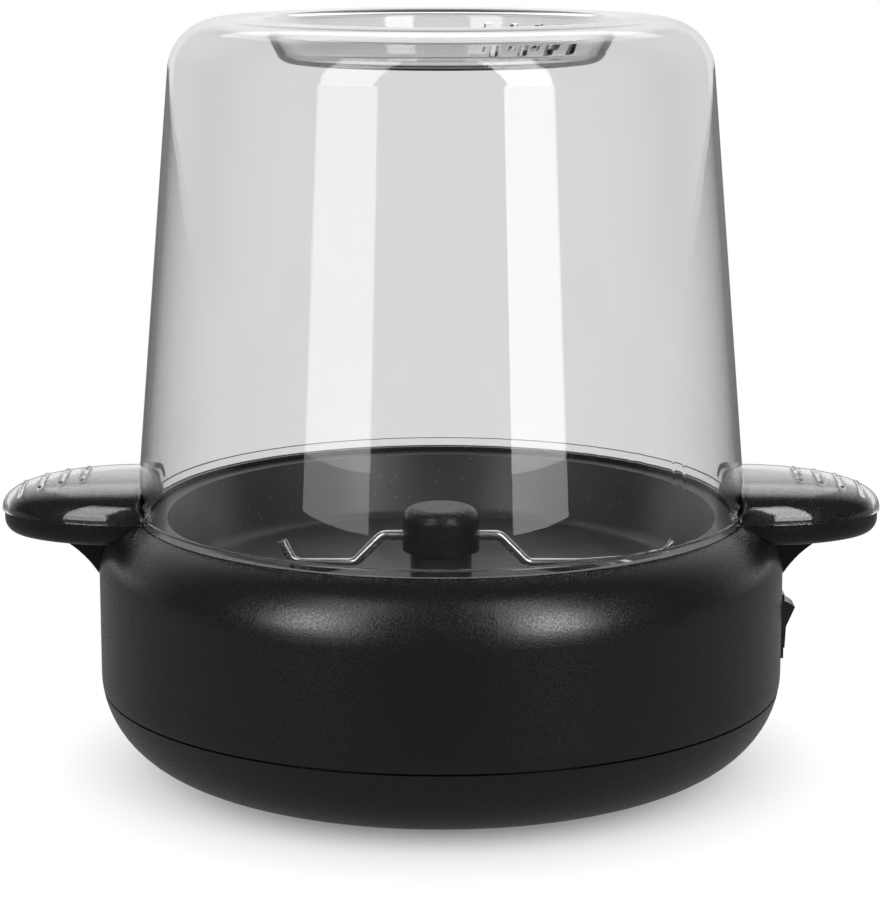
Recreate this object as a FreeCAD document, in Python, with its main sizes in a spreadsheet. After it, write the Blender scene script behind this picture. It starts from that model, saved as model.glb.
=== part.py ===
"""Stirring popcorn maker: one assembly of separately named sub-parts.

Frame: millimetres, origin on the floor under the middle of the base, +Z up,
+X towards the handle with the rocker switch under it, -Y towards the front.
"""
import FreeCAD, Part
import math
import os
import re
from collections import namedtuple

import Sketcher

os.makedirs("parts", exist_ok=True)
DOC = FreeCAD.newDocument("PopcornMaker")
Vector = FreeCAD.Vector

# Driving sizes, in millimetres unless the name says otherwise.
DIMENSIONS = {
    # base shell
    "body_radius": 132.3,
    "body_wall": 2.5,
    "base_height": 100.5,
    "foot_height": 4.0,
    "bottom_corner": 35.5,
    "seam_height": 33.5,
    "seam_gap": 0.8,
    "shoulder_inset": 14.0,
    "shoulder_height": 22.0,
    "rim_land": 4.8,
    "ledge_depth": 5.0,
    "ledge_width": 3.7,
    "ledge_thickness": 2.5,
    "lap_length": 5.0,
    "lap_wall": 1.6,
    "lap_clearance": 0.2,
    # bottom cover: screw towers, feet and vents
    "tower_offset": 3.0,
    "tower_radius": 5.5,
    "tower_top": 40.0,
    "housing_boss_length": 12.0,
    "boss_web": 3.0,
    "cover_screw_radius": 2.0,
    "cover_screw_head_radius": 3.8,
    "cover_screw_head_height": 2.4,
    "cover_screw_grip": 24.0,
    "cover_screw_bite": 10.0,
    "screw_clearance": 0.3,
    "thread_clearance": 0.02,
    "foot_radius": 9.0,
    "foot_ring": 78.0,
    "foot_recess": 1.0,
    "foot_plug_radius": 2.9,
    "foot_plug_length": 6.0,
    "foot_clearance": 0.1,
    "vent_slot_width": 3.0,
    "vent_slot_inner": 42.0,
    "vent_slot_outer": 64.0,
    # lid bowl
    "lid_height": 188.5,
    "lid_wall": 2.2,
    "lid_taper": 15.9,
    "lid_corner": 20.0,
    "flange_lip": 1.0,
    "flange_thickness": 3.5,
    "well_radius": 63.5,
    "well_depth": 13.5,
    "well_taper": 5.5,
    "well_rim_round": 4.5,
    "well_corner": 4.0,
    "well_vent_width": 2.6,
    "well_vent_height": 4.4,
    "well_vent_drop": 5.4,
    "well_vent_first_deg": 41.4,
    "well_vent_pitch_deg": 10.4,
    # lid handle shells and the base handles under them
    "ear_inset": 3.3,
    "ear_length": 55.0,
    "ear_half_width": 33.4,
    "ear_height": 13.2,
    "ear_bury": 0.6,
    "ear_gap": 0.4,
    "lip_gap": 0.3,
    "rib_width": 1.5,
    "rib_height": 0.5,
    "rib_length": 27.0,
    "rib_pitch": 8.1,
    "rib_from_tip": 8.0,
    "handle_depth": 8.8,
    "handle_overhang": 0.8,
    "handle_round": 6.0,
    "handle_floor": 3.0,
    "handle_wall": 3.0,
    "handle_fit": 0.1,
    "plug_clearance": 0.8,
    "gusset_half_width": 13.0,
    "gusset_reach": 14.5,
    "gusset_drop": 17.7,
    "gusset_curve": 40.0,
    "handle_screw_spread": 8.5,
    "handle_screw_drop": 5.4,
    "handle_screw_radius": 1.75,
    "handle_screw_head_radius": 3.0,
    "handle_screw_head_height": 2.2,
    "handle_screw_bite": 8.0,
    "handle_boss_radius": 4.0,
    "handle_boss_depth": 3.6,
    "handle_boss_height": 2.5,
    # popping plate, seal and heat shield
    "seal_thickness": 1.2,
    "plate_clearance": 0.5,
    "plate_fit": 0.6,
    "plate_flange": 2.0,
    "plate_wall": 3.0,
    "plate_depth": 26.5,
    "plate_thickness": 3.5,
    "plate_slope": 10.0,
    "plate_corner": 6.0,
    "plate_boss_radius": 12.0,
    "plate_boss_height": 8.0,
    "plate_lug_ring": 86.0,
    "plate_lug_radius": 5.0,
    "shield_gap": 12.5,
    "shield_sheet": 0.8,
    "shield_flange": 4.5,
    "shield_slope": 5.0,
    "shield_hole": 14.0,
    "shield_screw_radius": 1.75,
    "shield_screw_head_radius": 3.4,
    "shield_screw_head_height": 2.0,
    "shield_screw_bite": 8.0,
    # heater, thermostat and fuse
    "heater_ring_radius": 70.0,
    "heater_tube": 3.2,
    "heater_gap_deg": 40.0,
    "heater_leg": 20.0,
    "heater_rib_height": 3.0,
    "heater_rib_width": 1.6,
    "heater_rib_clearance": 0.3,
    "bush_wall": 1.8,
    "bush_flange": 1.6,
    "bush_flange_height": 1.5,
    "bush_clearance": 0.1,
    "thermostat_ring": 44.0,
    "thermostat_cap_radius": 8.0,
    "thermostat_cap_height": 4.0,
    "thermostat_base_radius": 7.0,
    "thermostat_base_height": 4.5,
    "blade_width": 4.0,
    "blade_thickness": 0.8,
    "blade_length": 7.0,
    "fuse_ring": 44.0,
    "fuse_radius": 2.2,
    "fuse_length": 14.0,
    "fuse_lead_radius": 0.6,
    "fuse_lead_length": 8.0,
    "clip_width": 5.0,
    "clip_sheet": 0.8,
    "clip_foot": 4.0,
    # stirrer
    "shaft_radius": 3.5,
    "running_clearance": 0.06,
    "shaft_bush_wall": 2.5,
    "shaft_flat": 0.9,
    "hub_radius": 15.0,
    "hub_lift": 1.0,
    "hub_height": 17.0,
    "hub_round": 5.0,
    "hub_roof": 4.5,
    "hub_socket_rise": 5.5,
    "hub_socket_floor": 3.0,
    "arm_radius": 2.0,
    "arm_clearance": 1.2,
    "arm_shelf": 8.0,
    "arm_slope": 11.0,
    "arm_wall_gap": 5.2,
    "arm_short_gap": 34.2,
    "arm_tip_rise": 9.0,
    "arm_bend": 5.0,
    "socket_clearance": 0.03,
    # geared motor
    "spacer_length": 5.0,
    "spacer_radius": 4.0,
    "case_radius": 25.5,
    "case_height": 11.0,
    "case_wall": 1.2,
    "case_lug_ring": 32.0,
    "case_lug_radius": 5.5,
    "case_lug_sheet": 1.6,
    "can_radius": 25.0,
    "can_height": 20.0,
    "motor_screw_radius": 1.7,
    "motor_screw_head_radius": 3.2,
    "motor_screw_head_height": 2.0,
    "motor_nut_radius": 3.4,
    "motor_nut_height": 2.6,
    "axial_play": 0.3,
    # rocker switch
    "switch_height": 55.0,
    "bezel_height": 25.5,
    "bezel_width": 17.0,
    "bezel_thickness": 1.6,
    "switch_flat": 0.7,
    "switch_body_height": 22.6,
    "switch_body_width": 14.0,
    "switch_body_depth": 18.0,
    "switch_wall": 1.2,
    "switch_clearance": 0.15,
    "rocker_pocket_depth": 12.0,
    "rocker_radius": 9.8,
    "rocker_face": 5.2,
    "rocker_dish": 1.5,
    "rocker_back": 4.0,
    "rocker_pivot_depth": 2.4,
    "rocker_side_gap": 0.4,
    "rocker_pivot_radius": 1.5,
    "rocker_tilt_deg": 13.0,
    "terminal_width": 6.3,
    "terminal_sheet": 0.8,
    "terminal_length": 6.4,
    "terminal_pitch": 8.0,
    # cord gland
    "gland_height": 50.0,
    "gland_bore": 3.8,
    "gland_neck": 6.2,
    "gland_flange": 8.6,
    "gland_flange_thickness": 2.0,
    "gland_recess": 2.4,
    "gland_inside": 5.0,
    "gland_clearance": 0.1,
}

SHEET = DOC.addObject("Spreadsheet::Sheet", "Sizes")
for row, (alias, size) in enumerate(DIMENSIONS.items(), start=1):
    SHEET.set(f"A{row}", alias)
    SHEET.set(f"B{row}", str(size))
    SHEET.setAlias(f"B{row}", alias)
DOC.recompute()

# Derived sizes, as expressions of the driving ones.
RIM_RADIUS = "(body_radius - shoulder_inset)"
SHOULDER_BASE = "(base_height - shoulder_height)"
SHOULDER_RADIUS = "((shoulder_inset^2 + shoulder_height^2) / (2 * shoulder_inset))"
CORNER_TOP = "(foot_height + bottom_corner)"
FLAT_RADIUS = "(body_radius - bottom_corner)"
INNER_RADIUS = "(body_radius - body_wall)"
INNER_CORNER = "(bottom_corner - body_wall)"
HOUSING_EDGE = "(seam_height + seam_gap / 2)"
COVER_EDGE = "(seam_height - seam_gap / 2)"
LAP_RADIUS = f"({FLAT_RADIUS} + sqrt({INNER_CORNER}^2 - ({CORNER_TOP} - {HOUSING_EDGE})^2) - lap_clearance)"
RIM_BORE = f"({RIM_RADIUS} - rim_land)"
LEDGE_TOP = "(base_height - ledge_depth)"
LEDGE_UNDER = f"({LEDGE_TOP} - ledge_thickness)"
LEDGE_BORE = f"({RIM_BORE} - ledge_width)"
FLOOR_INSIDE = "(foot_height + body_wall)"
TOWER_RING = f"({FLAT_RADIUS} + tower_offset)"
LID_RADIUS = f"({RIM_RADIUS} - flange_lip)"
LID_TOP = "(base_height + lid_height)"
LID_TOP_RADIUS = f"({LID_RADIUS} - lid_taper)"
WELL_FLOOR = f"({LID_TOP} - well_depth)"
EAR_CENTRE = f"({RIM_RADIUS} - ear_inset)"
HANDLE_TOP = "(base_height - lip_gap)"
HANDLE_UNDER = f"({HANDLE_TOP} - handle_depth)"
HANDLE_SCREW_Z = f"({HANDLE_UNDER} - handle_screw_drop)"
PLATE_SEAT = f"({LEDGE_TOP} + seal_thickness)"
PLATE_RIM = f"({PLATE_SEAT} + plate_flange)"
PLATE_FLOOR = "(base_height - plate_depth)"
PLATE_UNDER = f"({PLATE_FLOOR} - plate_thickness)"
PLATE_OUTER = f"({LEDGE_BORE} - plate_fit)"
PLATE_FOOT = f"({PLATE_OUTER} - plate_slope - plate_wall)"
SHIELD_TOP = f"({PLATE_UNDER} - shield_gap)"
SHIELD_UNDER = f"({SHIELD_TOP} - shield_sheet)"
SHIELD_BORE = f"({PLATE_OUTER} + plate_fit)"
CASE_TOP = f"({SHIELD_UNDER} - spacer_length)"
CASE_BASE = f"({CASE_TOP} - case_height)"
CAN_BASE = f"({CASE_BASE} - can_height)"
HUB_BASE = f"({PLATE_FLOOR} + plate_boss_height + hub_lift)"
SHAFT_TOP = f"({HUB_BASE} + hub_height - hub_roof)"
SWITCH_Z = "switch_height"
SWITCH_SEAT = "(body_radius - switch_flat)"

Corner = namedtuple("Corner", "x y rounding bend", defaults=(None, None))
WORD = re.compile(r"[a-z][a-z_]*")


def bound(expression):
    """Return the expression with every size name pointed at the sheet."""
    return WORD.sub(lambda m: f"Sizes.{m[0]}" if m[0] in DIMENSIONS else m[0], expression)


def number(expression):
    """Return what an expression of the sizes comes to."""
    return float(SHEET.evalExpression(bound(expression)))


def tie(target, prop, expression):
    """Bind a property to an expression of the sizes."""
    target.setExpression(prop, bound(expression))


def place(target, x="0", y="0", z="0"):
    """Bind the position of an object."""
    tie(target, "Placement.Base.x", x)
    tie(target, "Placement.Base.y", y)
    tie(target, "Placement.Base.z", z)


def new_body(name):
    """Return an empty body labelled with its node name."""
    body = DOC.addObject("PartDesign::Body", name)
    body.Label = name
    return body


def origin_part(body, role):
    """Return a plane or an axis of the body's own origin."""
    return next(part for part in body.Origin.OriginFeatures if part.Role == role)


def new_sketch(body, name, plane, lift):
    """Return an empty sketch on an origin plane, lifted along its normal."""
    sketch = body.newObject("Sketcher::SketchObject", f"{body.Name}_{name}")
    sketch.AttachmentSupport = [(origin_part(body, plane), "")]
    sketch.MapMode = "FlatFace"
    if lift:
        tie(sketch, "AttachmentOffset.Base.z", lift)
    return sketch


def measure(sketch, kind, *where_and_size):
    """Add a dimension to a sketch and bind it to its expression."""
    *where, expression = where_and_size
    index = sketch.addConstraint(Sketcher.Constraint(kind, *where, number(expression)))
    tie(sketch, f"Constraints[{index}]", expression)


def pin_point(sketch, geometry, position, x, y):
    """Dimension a sketch point from the sketch origin."""
    measure(sketch, "DistanceX", -1, 1, geometry, position, x)
    measure(sketch, "DistanceY", -1, 1, geometry, position, y)


def arc_between(sketch, start, end, centre):
    """Add the shorter arc from start to end; return it with its end positions."""
    first = math.atan2(start.y - centre.y, start.x - centre.x)
    last = math.atan2(end.y - centre.y, end.x - centre.x)
    turn = (last - first) % (2 * math.pi)
    circle = Part.Circle(centre, Vector(0, 0, 1), (start - centre).Length)
    if turn < math.pi:
        return sketch.addGeometry(Part.ArcOfCircle(circle, first, first + turn), False), 1, 2
    return sketch.addGeometry(Part.ArcOfCircle(circle, last, last + 2 * math.pi - turn), False), 2, 1


def outline(body, name, plane, corners, lift=None, closed=True):
    """Draw a fully dimensioned outline.

    A corner with a rounding is rounded with that radius. A corner with a bend
    is joined to the next one by an arc of that radius instead of a line; the
    arc's middle lies to the left of the way round, or to the right where the
    bend starts with a minus.
    """
    sketch = new_sketch(body, name, plane, lift)
    points = [Vector(number(c.x), number(c.y), 0) for c in corners]
    count = len(corners)
    starts = list(points)
    ends = list(points)
    middles = [None] * count
    for i, corner in enumerate(corners):
        if corner.rounding:
            back = (points[i - 1] - points[i]).normalize()
            ahead = (points[(i + 1) % count] - points[i]).normalize()
            half = back.getAngle(ahead) / 2
            radius = number(corner.rounding)
            ends[i] = points[i] + back * (radius / math.tan(half))
            starts[i] = points[i] + ahead * (radius / math.tan(half))
            middles[i] = points[i] + (back + ahead).normalize() * (radius / math.sin(half))
    segments = []
    for i in range(count if closed else count - 1):
        start = starts[i]
        end = ends[(i + 1) % count]
        bend = corners[i].bend
        if bend:
            radius = number(bend.lstrip("-"))
            chord = end - start
            side = Vector(-chord.y, chord.x, 0).normalize() * (-1 if bend.startswith("-") else 1)
            rise = math.sqrt(radius**2 - (chord.Length / 2) ** 2)
            segments.append(arc_between(sketch, start, end, start + chord * 0.5 + side * rise))
            measure(sketch, "Radius", segments[-1][0], bend.lstrip("-"))
        else:
            segments.append((sketch.addGeometry(Part.LineSegment(start, end), False), 1, 2))
    for i, corner in enumerate(corners):
        has_before = closed or i > 0
        has_after = closed or i < count - 1
        after = segments[i] if has_after else None
        before = segments[i - 1] if has_before else None
        if not corner.rounding:
            if before and after:
                joint = Sketcher.Constraint("Coincident", before[0], before[2], after[0], after[1])
                sketch.addConstraint(joint)
            held = (after[0], after[1]) if after else (before[0], before[2])
            pin_point(sketch, held[0], held[1], corner.x, corner.y)
            continue
        arc = arc_between(sketch, ends[i], starts[i], middles[i])
        tip = sketch.addGeometry(Part.Point(points[i]), True)
        pin_point(sketch, tip, 1, corner.x, corner.y)
        sketch.addConstraint(Sketcher.Constraint("PointOnObject", tip, 1, before[0]))
        sketch.addConstraint(Sketcher.Constraint("PointOnObject", tip, 1, after[0]))
        sketch.addConstraint(Sketcher.Constraint("Tangent", before[0], before[2], arc[0], arc[1]))
        sketch.addConstraint(Sketcher.Constraint("Tangent", arc[0], arc[2], after[0], after[1]))
        measure(sketch, "Radius", arc[0], corner.rounding)
    return sketch


def circle(body, name, plane, x, y, radius, lift=None):
    """Draw one dimensioned circle."""
    sketch = new_sketch(body, name, plane, lift)
    shape = Part.Circle(Vector(number(x), number(y), 0), Vector(0, 0, 1), number(radius))
    index = sketch.addGeometry(shape, False)
    pin_point(sketch, index, 3, x, y)
    measure(sketch, "Radius", index, radius)
    return sketch


def ellipse(body, name, x, y, along_x, along_y, lift):
    """Draw one dimensioned ellipse, longer along X, on the XY plane."""
    sketch = new_sketch(body, name, "XY_Plane", lift)
    shape = Part.Ellipse(Vector(number(x), number(y), 0), number(along_x), number(along_y))
    index = sketch.addGeometry(shape, False)
    sketch.exposeInternalGeometry(index)
    major, minor = index + 1, index + 2
    pin_point(sketch, index, 3, x, y)
    sketch.addConstraint(Sketcher.Constraint("Horizontal", major))
    measure(sketch, "Distance", major, f"2 * ({along_x})")
    measure(sketch, "Distance", minor, f"2 * ({along_y})")
    return sketch


def rectangle(body, name, plane, x, y, wide, high, lift=None):
    """Draw a rectangle about its middle."""
    left, right = f"({x}) - ({wide}) / 2", f"({x}) + ({wide}) / 2"
    low, top = f"({y}) - ({high}) / 2", f"({y}) + ({high}) / 2"
    corners = [Corner(left, low), Corner(right, low), Corner(right, top), Corner(left, top)]
    return outline(body, name, plane, corners, lift)


def turn(body, sketch, cut=False):
    """Revolve a sketch about its upright axis, adding or cutting."""
    kind = "PartDesign::Groove" if cut else "PartDesign::Revolution"
    feature = body.newObject(kind, f"{sketch.Name}_turn")
    feature.Profile = sketch
    feature.ReferenceAxis = (sketch, ["V_Axis"])
    feature.Angle = 360
    feature.Refine = False
    return feature


def pad(body, sketch, length, both_ways=False, down=False):
    """Extrude a sketch: up, down, or half each way."""
    feature = body.newObject("PartDesign::Pad", f"{sketch.Name}_pad")
    feature.Profile = sketch
    tie(feature, "Length", length)
    feature.SideType = "Symmetric" if both_ways else "One side"
    feature.Reversed = down
    return feature


def pocket(body, sketch, length):
    """Cut a sketch half of the length each way from its plane."""
    feature = body.newObject("PartDesign::Pocket", f"{sketch.Name}_cut")
    feature.Profile = sketch
    feature.SideType = "Symmetric"
    feature.Refine = False
    tie(feature, "Length", length)
    return feature


def polar(body, features, count):
    """Repeat features about the upright axis."""
    feature = body.newObject("PartDesign::PolarPattern", f"{features[0].Name}_ring")
    feature.Originals = features
    feature.Axis = (origin_part(body, "Z_Axis"), [""])
    feature.Angle = 360
    feature.Occurrences = count
    body.Tip = feature
    return feature


def round_edges(body, feature, radius, wanted):
    """Fillet the edges of a feature that a test picks out."""
    DOC.recompute()
    edges = enumerate(feature.Shape.Edges, start=1)
    names = [f"Edge{i}" for i, edge in edges if wanted(edge)]
    fillet = body.newObject("PartDesign::Fillet", f"{feature.Name}_round")
    fillet.Base = (feature, names)
    tie(fillet, "Radius", radius)
    return fillet


def ellipsoid(body, name, centre, radii, cut=False):
    """Add or cut an ellipsoid; centre and radii are along X, Y and Z."""
    kind = "PartDesign::SubtractiveEllipsoid" if cut else "PartDesign::AdditiveEllipsoid"
    feature = body.newObject(kind, f"{body.Name}_{name}")
    feature.AttachmentSupport = [(origin_part(body, "XY_Plane"), "")]
    feature.MapMode = "FlatFace"
    for axis, expression in zip("xyz", centre):
        tie(feature, f"AttachmentOffset.Base.{axis}", expression)
    for prop, expression in zip(("Radius2", "Radius3", "Radius1"), radii):
        tie(feature, prop, expression)
    feature.Refine = False
    return feature


def cylinder(name, radius, low, high, x="0", y="0"):
    """Return an upright cylinder between two heights."""
    shape = DOC.addObject("Part::Cylinder", name)
    tie(shape, "Radius", radius)
    tie(shape, "Height", f"({high}) - ({low})")
    place(shape, x, y, low)
    return shape


def block(name, x, y, z):
    """Return a box; x, y and z are pairs of limits."""
    shape = DOC.addObject("Part::Box", name)
    for prop, (low, high) in zip(("Length", "Width", "Height"), (x, y, z)):
        tie(shape, prop, f"({high}) - ({low})")
    place(shape, x[0], y[0], z[0])
    return shape


def cut(name, base, tool):
    """Return the base less the tool."""
    shape = DOC.addObject("Part::Cut", name)
    shape.Base = base
    shape.Tool = tool
    shape.Label = name
    return shape


def fuse(name, pieces):
    """Return several pieces as one solid."""
    shape = DOC.addObject("Part::MultiFuse", name)
    shape.Shapes = pieces
    shape.Label = name
    return shape


def overlap(name, pieces):
    """Return what several pieces have in common."""
    shape = DOC.addObject("Part::MultiCommon", name)
    shape.Shapes = pieces
    return shape


def group(name, pieces):
    """Return separate solids under one node name."""
    shape = DOC.addObject("Part::Compound", name)
    shape.Links = pieces
    shape.Label = name
    return shape


def ring(name, outer, inner, low, high, x="0", y="0"):
    """Return an upright tube between two heights."""
    return cut(name, cylinder(f"{name}_out", outer, low, high, x, y),
               cylinder(f"{name}_bore", inner, f"({low}) - body_wall", f"({high}) + body_wall", x, y))


def around(radius, angle):
    """Return the x and y expressions of a point at an angle in degrees."""
    return f"({radius}) * cos({angle})", f"({radius}) * sin({angle})"


def lay_along_x(shape):
    """Turn an upright cylinder so that it runs along +X from its foot."""
    shape.Placement.Rotation = FreeCAD.Rotation(Vector(0, 1, 0), 90)


def make_housing():
    """Upper base shell: wall, shoulder, lid rim, plate ledge and fixings."""
    body = new_body("base_housing")
    arc_x = f"(body_radius - {SHOULDER_RADIUS})"
    seam_rise = f"({CORNER_TOP} - {HOUSING_EDGE})"
    under_x = f"{arc_x} + sqrt(({SHOULDER_RADIUS} - body_wall)^2 - ({LEDGE_UNDER} - {SHOULDER_BASE})^2)"
    turn(body, outline(body, "shell", "XZ_Plane", [
        Corner(f"{FLAT_RADIUS} + sqrt(bottom_corner^2 - {seam_rise}^2)", HOUSING_EDGE, bend="bottom_corner"),
        Corner("body_radius", CORNER_TOP),
        Corner("body_radius", SHOULDER_BASE, bend=SHOULDER_RADIUS),
        Corner(RIM_RADIUS, "base_height"),
        Corner(RIM_BORE, "base_height"),
        Corner(RIM_BORE, LEDGE_TOP),
        Corner(LEDGE_BORE, LEDGE_TOP),
        Corner(LEDGE_BORE, LEDGE_UNDER),
        Corner(under_x, LEDGE_UNDER, bend=f"-({SHOULDER_RADIUS} - body_wall)"),
        Corner(INNER_RADIUS, SHOULDER_BASE),
        Corner(INNER_RADIUS, CORNER_TOP, bend=f"-{INNER_CORNER}"),
        Corner(f"{FLAT_RADIUS} + sqrt({INNER_CORNER}^2 - {seam_rise}^2)", HOUSING_EDGE),
    ]))
    add_cover_bosses(body)
    add_handle_fixings(body)
    cut_switch_seat(body)
    cut_gland_seat(body)
    return body


def add_cover_bosses(body):
    """Bosses on webs that the bottom cover is screwed to."""
    diagonal = "sqrt(2)"
    x = f"{TOWER_RING} / {diagonal}"
    round_boss = circle(body, "boss", "XY_Plane", x, x, "tower_radius", "tower_top")
    boss = pad(body, round_boss, "housing_boss_length")
    half = f"boss_web / (2 * {diagonal})"
    reach = f"({INNER_RADIUS} + body_wall / 2) / {diagonal}"
    web = pad(body, outline(body, "web", "XY_Plane", [
        Corner(f"{x} + {half}", f"{x} - {half}"),
        Corner(f"{reach} + {half}", f"{reach} - {half}"),
        Corner(f"{reach} - {half}", f"{reach} + {half}"),
        Corner(f"{x} - {half}", f"{x} + {half}"),
    ], "tower_top"), "housing_boss_length")
    polar(body, [boss, web], 4)
    hole = pocket(body, circle(body, "pilot", "XY_Plane", x, x, "cover_screw_radius + thread_clearance",
                               "tower_top"), "2 * (cover_screw_bite + screw_clearance)")
    polar(body, [hole], 4)


def add_handle_fixings(body):
    """Inside bosses and clear holes for the handle screws, both sides."""
    for side, way in (("right", ""), ("left", "-")):
        for end, across in (("front", "-"), ("rear", "")):
            y = f"{across}handle_screw_spread"
            spot = circle(body, f"seat_{side}_{end}", "YZ_Plane", y, HANDLE_SCREW_Z, "handle_boss_radius",
                          f"{way}({INNER_RADIUS} - handle_boss_depth)")
            pad(body, spot, "handle_boss_height", down=bool(way))
            hole = circle(body, f"clear_{side}_{end}", "YZ_Plane", y, HANDLE_SCREW_Z,
                          "handle_screw_radius + screw_clearance", f"{way}{INNER_RADIUS}")
            pocket(body, hole, "4 * (handle_boss_depth + body_wall)")


def cut_switch_seat(body):
    """Flat seat and square hole for the rocker switch."""
    flat = rectangle(body, "switch_flat", "YZ_Plane", "0", SWITCH_Z, "bezel_width + 2 * switch_clearance",
                     "bezel_height + 2 * switch_clearance", f"{SWITCH_SEAT} + bezel_thickness")
    pocket(body, flat, "2 * bezel_thickness")
    hole = rectangle(body, "switch_hole", "YZ_Plane", "0", SWITCH_Z,
                     "switch_body_width + 2 * switch_clearance",
                     "switch_body_height + 2 * switch_clearance", "body_radius")
    pocket(body, hole, "4 * body_wall")


def cut_gland_seat(body):
    """Recess and hole for the cord gland at the rear."""
    y_plane = "-body_radius"
    spot = circle(body, "gland_recess", "XZ_Plane", "0", "gland_height", "gland_flange + gland_clearance",
                  y_plane)
    pad_in = circle(body, "gland_pad", "XZ_Plane", "0", "gland_height", "gland_flange + body_wall",
                    f"-({INNER_RADIUS} - body_wall / 2)")
    pad(body, pad_in, "body_wall", both_ways=True)
    pocket(body, spot, "2 * gland_recess")
    hole = circle(body, "gland_hole", "XZ_Plane", "0", "gland_height", "gland_neck + gland_clearance",
                  y_plane)
    pocket(body, hole, "8 * body_wall")


def make_cover():
    """Bottom cover: dished pan with lap lip, screw towers, vents and foot seats."""
    body = new_body("bottom_cover")
    lap_inner = f"({LAP_RADIUS} - lap_wall)"
    edge_x = f"{FLAT_RADIUS} + sqrt(bottom_corner^2 - ({CORNER_TOP} - {COVER_EDGE})^2)"
    lap_foot = f"{CORNER_TOP} - sqrt({INNER_CORNER}^2 - ({lap_inner} - {FLAT_RADIUS})^2)"
    turn(body, outline(body, "pan", "XZ_Plane", [
        Corner("0", "foot_height"),
        Corner(FLAT_RADIUS, "foot_height", bend="bottom_corner"),
        Corner(edge_x, COVER_EDGE),
        Corner(LAP_RADIUS, COVER_EDGE),
        Corner(LAP_RADIUS, f"{COVER_EDGE} + lap_length"),
        Corner(lap_inner, f"{COVER_EDGE} + lap_length"),
        Corner(lap_inner, lap_foot, bend=f"-{INNER_CORNER}"),
        Corner(FLAT_RADIUS, FLOOR_INSIDE),
        Corner("0", FLOOR_INSIDE),
    ]))
    x = f"{TOWER_RING} / sqrt(2)"
    start = "(foot_height + body_wall / 2)"
    tower = pad(body, circle(body, "tower", "XY_Plane", x, x, "tower_radius", start), f"tower_top - {start}")
    polar(body, [tower], 4)
    seat = "(tower_top - cover_screw_grip)"
    well = pocket(body, circle(body, "well", "XY_Plane", x, x, "cover_screw_head_radius + screw_clearance"),
                  f"2 * {seat}")
    hole = pocket(body, circle(body, "hole", "XY_Plane", x, x, "cover_screw_radius + screw_clearance",
                               "tower_top"), "2 * tower_top")
    polar(body, [well, hole], 4)
    foot = "foot_ring / sqrt(2)"
    recess = pocket(body, circle(body, "foot_seat", "XY_Plane", foot, foot, "foot_radius + foot_clearance",
                                 "foot_height"), "2 * foot_recess")
    plug = pocket(body, circle(body, "foot_hole", "XY_Plane", foot, foot, "foot_plug_radius + foot_clearance",
                               "foot_height"), "4 * body_wall")
    polar(body, [recess, plug], 4)
    slot = pocket(body, rectangle(body, "vent", "XY_Plane", "(vent_slot_inner + vent_slot_outer) / 2", "0",
                                  "vent_slot_outer - vent_slot_inner", "vent_slot_width", "foot_height"),
                  "4 * body_wall")
    polar(body, [slot], 12)
    return body


def make_lid_bowl():
    """Clear bowl of the lid: rim band, tapered wall, rounded top and well."""
    body = new_body("lid_bowl")
    wall_foot = f"{LID_RADIUS} - lid_wall"
    turn(body, outline(body, "bowl", "XZ_Plane", [
        Corner(wall_foot, "base_height"),
        Corner(RIM_RADIUS, "base_height"),
        Corner(RIM_RADIUS, "base_height + flange_thickness"),
        Corner(LID_RADIUS, "base_height + flange_thickness"),
        Corner(LID_TOP_RADIUS, LID_TOP, "lid_corner"),
        Corner("well_radius", LID_TOP, "well_rim_round"),
        Corner("well_radius - well_taper", WELL_FLOOR, "well_corner"),
        Corner("0", WELL_FLOOR),
        Corner("0", f"{WELL_FLOOR} - lid_wall"),
        Corner("well_radius - well_taper + lid_wall", f"{WELL_FLOOR} - lid_wall", "well_corner + lid_wall"),
        Corner("well_radius + lid_wall", f"{LID_TOP} - lid_wall", "well_rim_round - lid_wall"),
        Corner(f"{LID_TOP_RADIUS} - lid_wall", f"{LID_TOP} - lid_wall", "lid_corner - lid_wall"),
    ]))
    return body


def make_ear(name, angle):
    """Clear handle shell of the lid with its grip ribs."""
    body = new_body(name)
    centre = (EAR_CENTRE, "0", "base_height")
    inside = ("ear_length - lid_wall", "ear_half_width - lid_wall", "ear_height - lid_wall")
    ellipsoid(body, "crown", centre, ("ear_length", "ear_half_width", "ear_height"))
    ellipsoid(body, "hollow", centre, inside, cut=True)
    trim = outline(body, "trim", "XZ_Plane", [
        Corner("0", "0"),
        Corner("2 * body_radius", "0"),
        Corner("2 * body_radius", "base_height"),
        Corner(f"{LID_RADIUS} - lid_wall + ear_bury", "base_height"),
        Corner(f"{LID_RADIUS} - lid_wall + ear_bury", "base_height + 2 * ear_height"),
        Corner("0", "base_height + 2 * ear_height"),
    ])
    turn(body, trim, cut=True)
    body.Placement.Rotation = FreeCAD.Rotation(Vector(0, 0, 1), angle)
    return body


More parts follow.
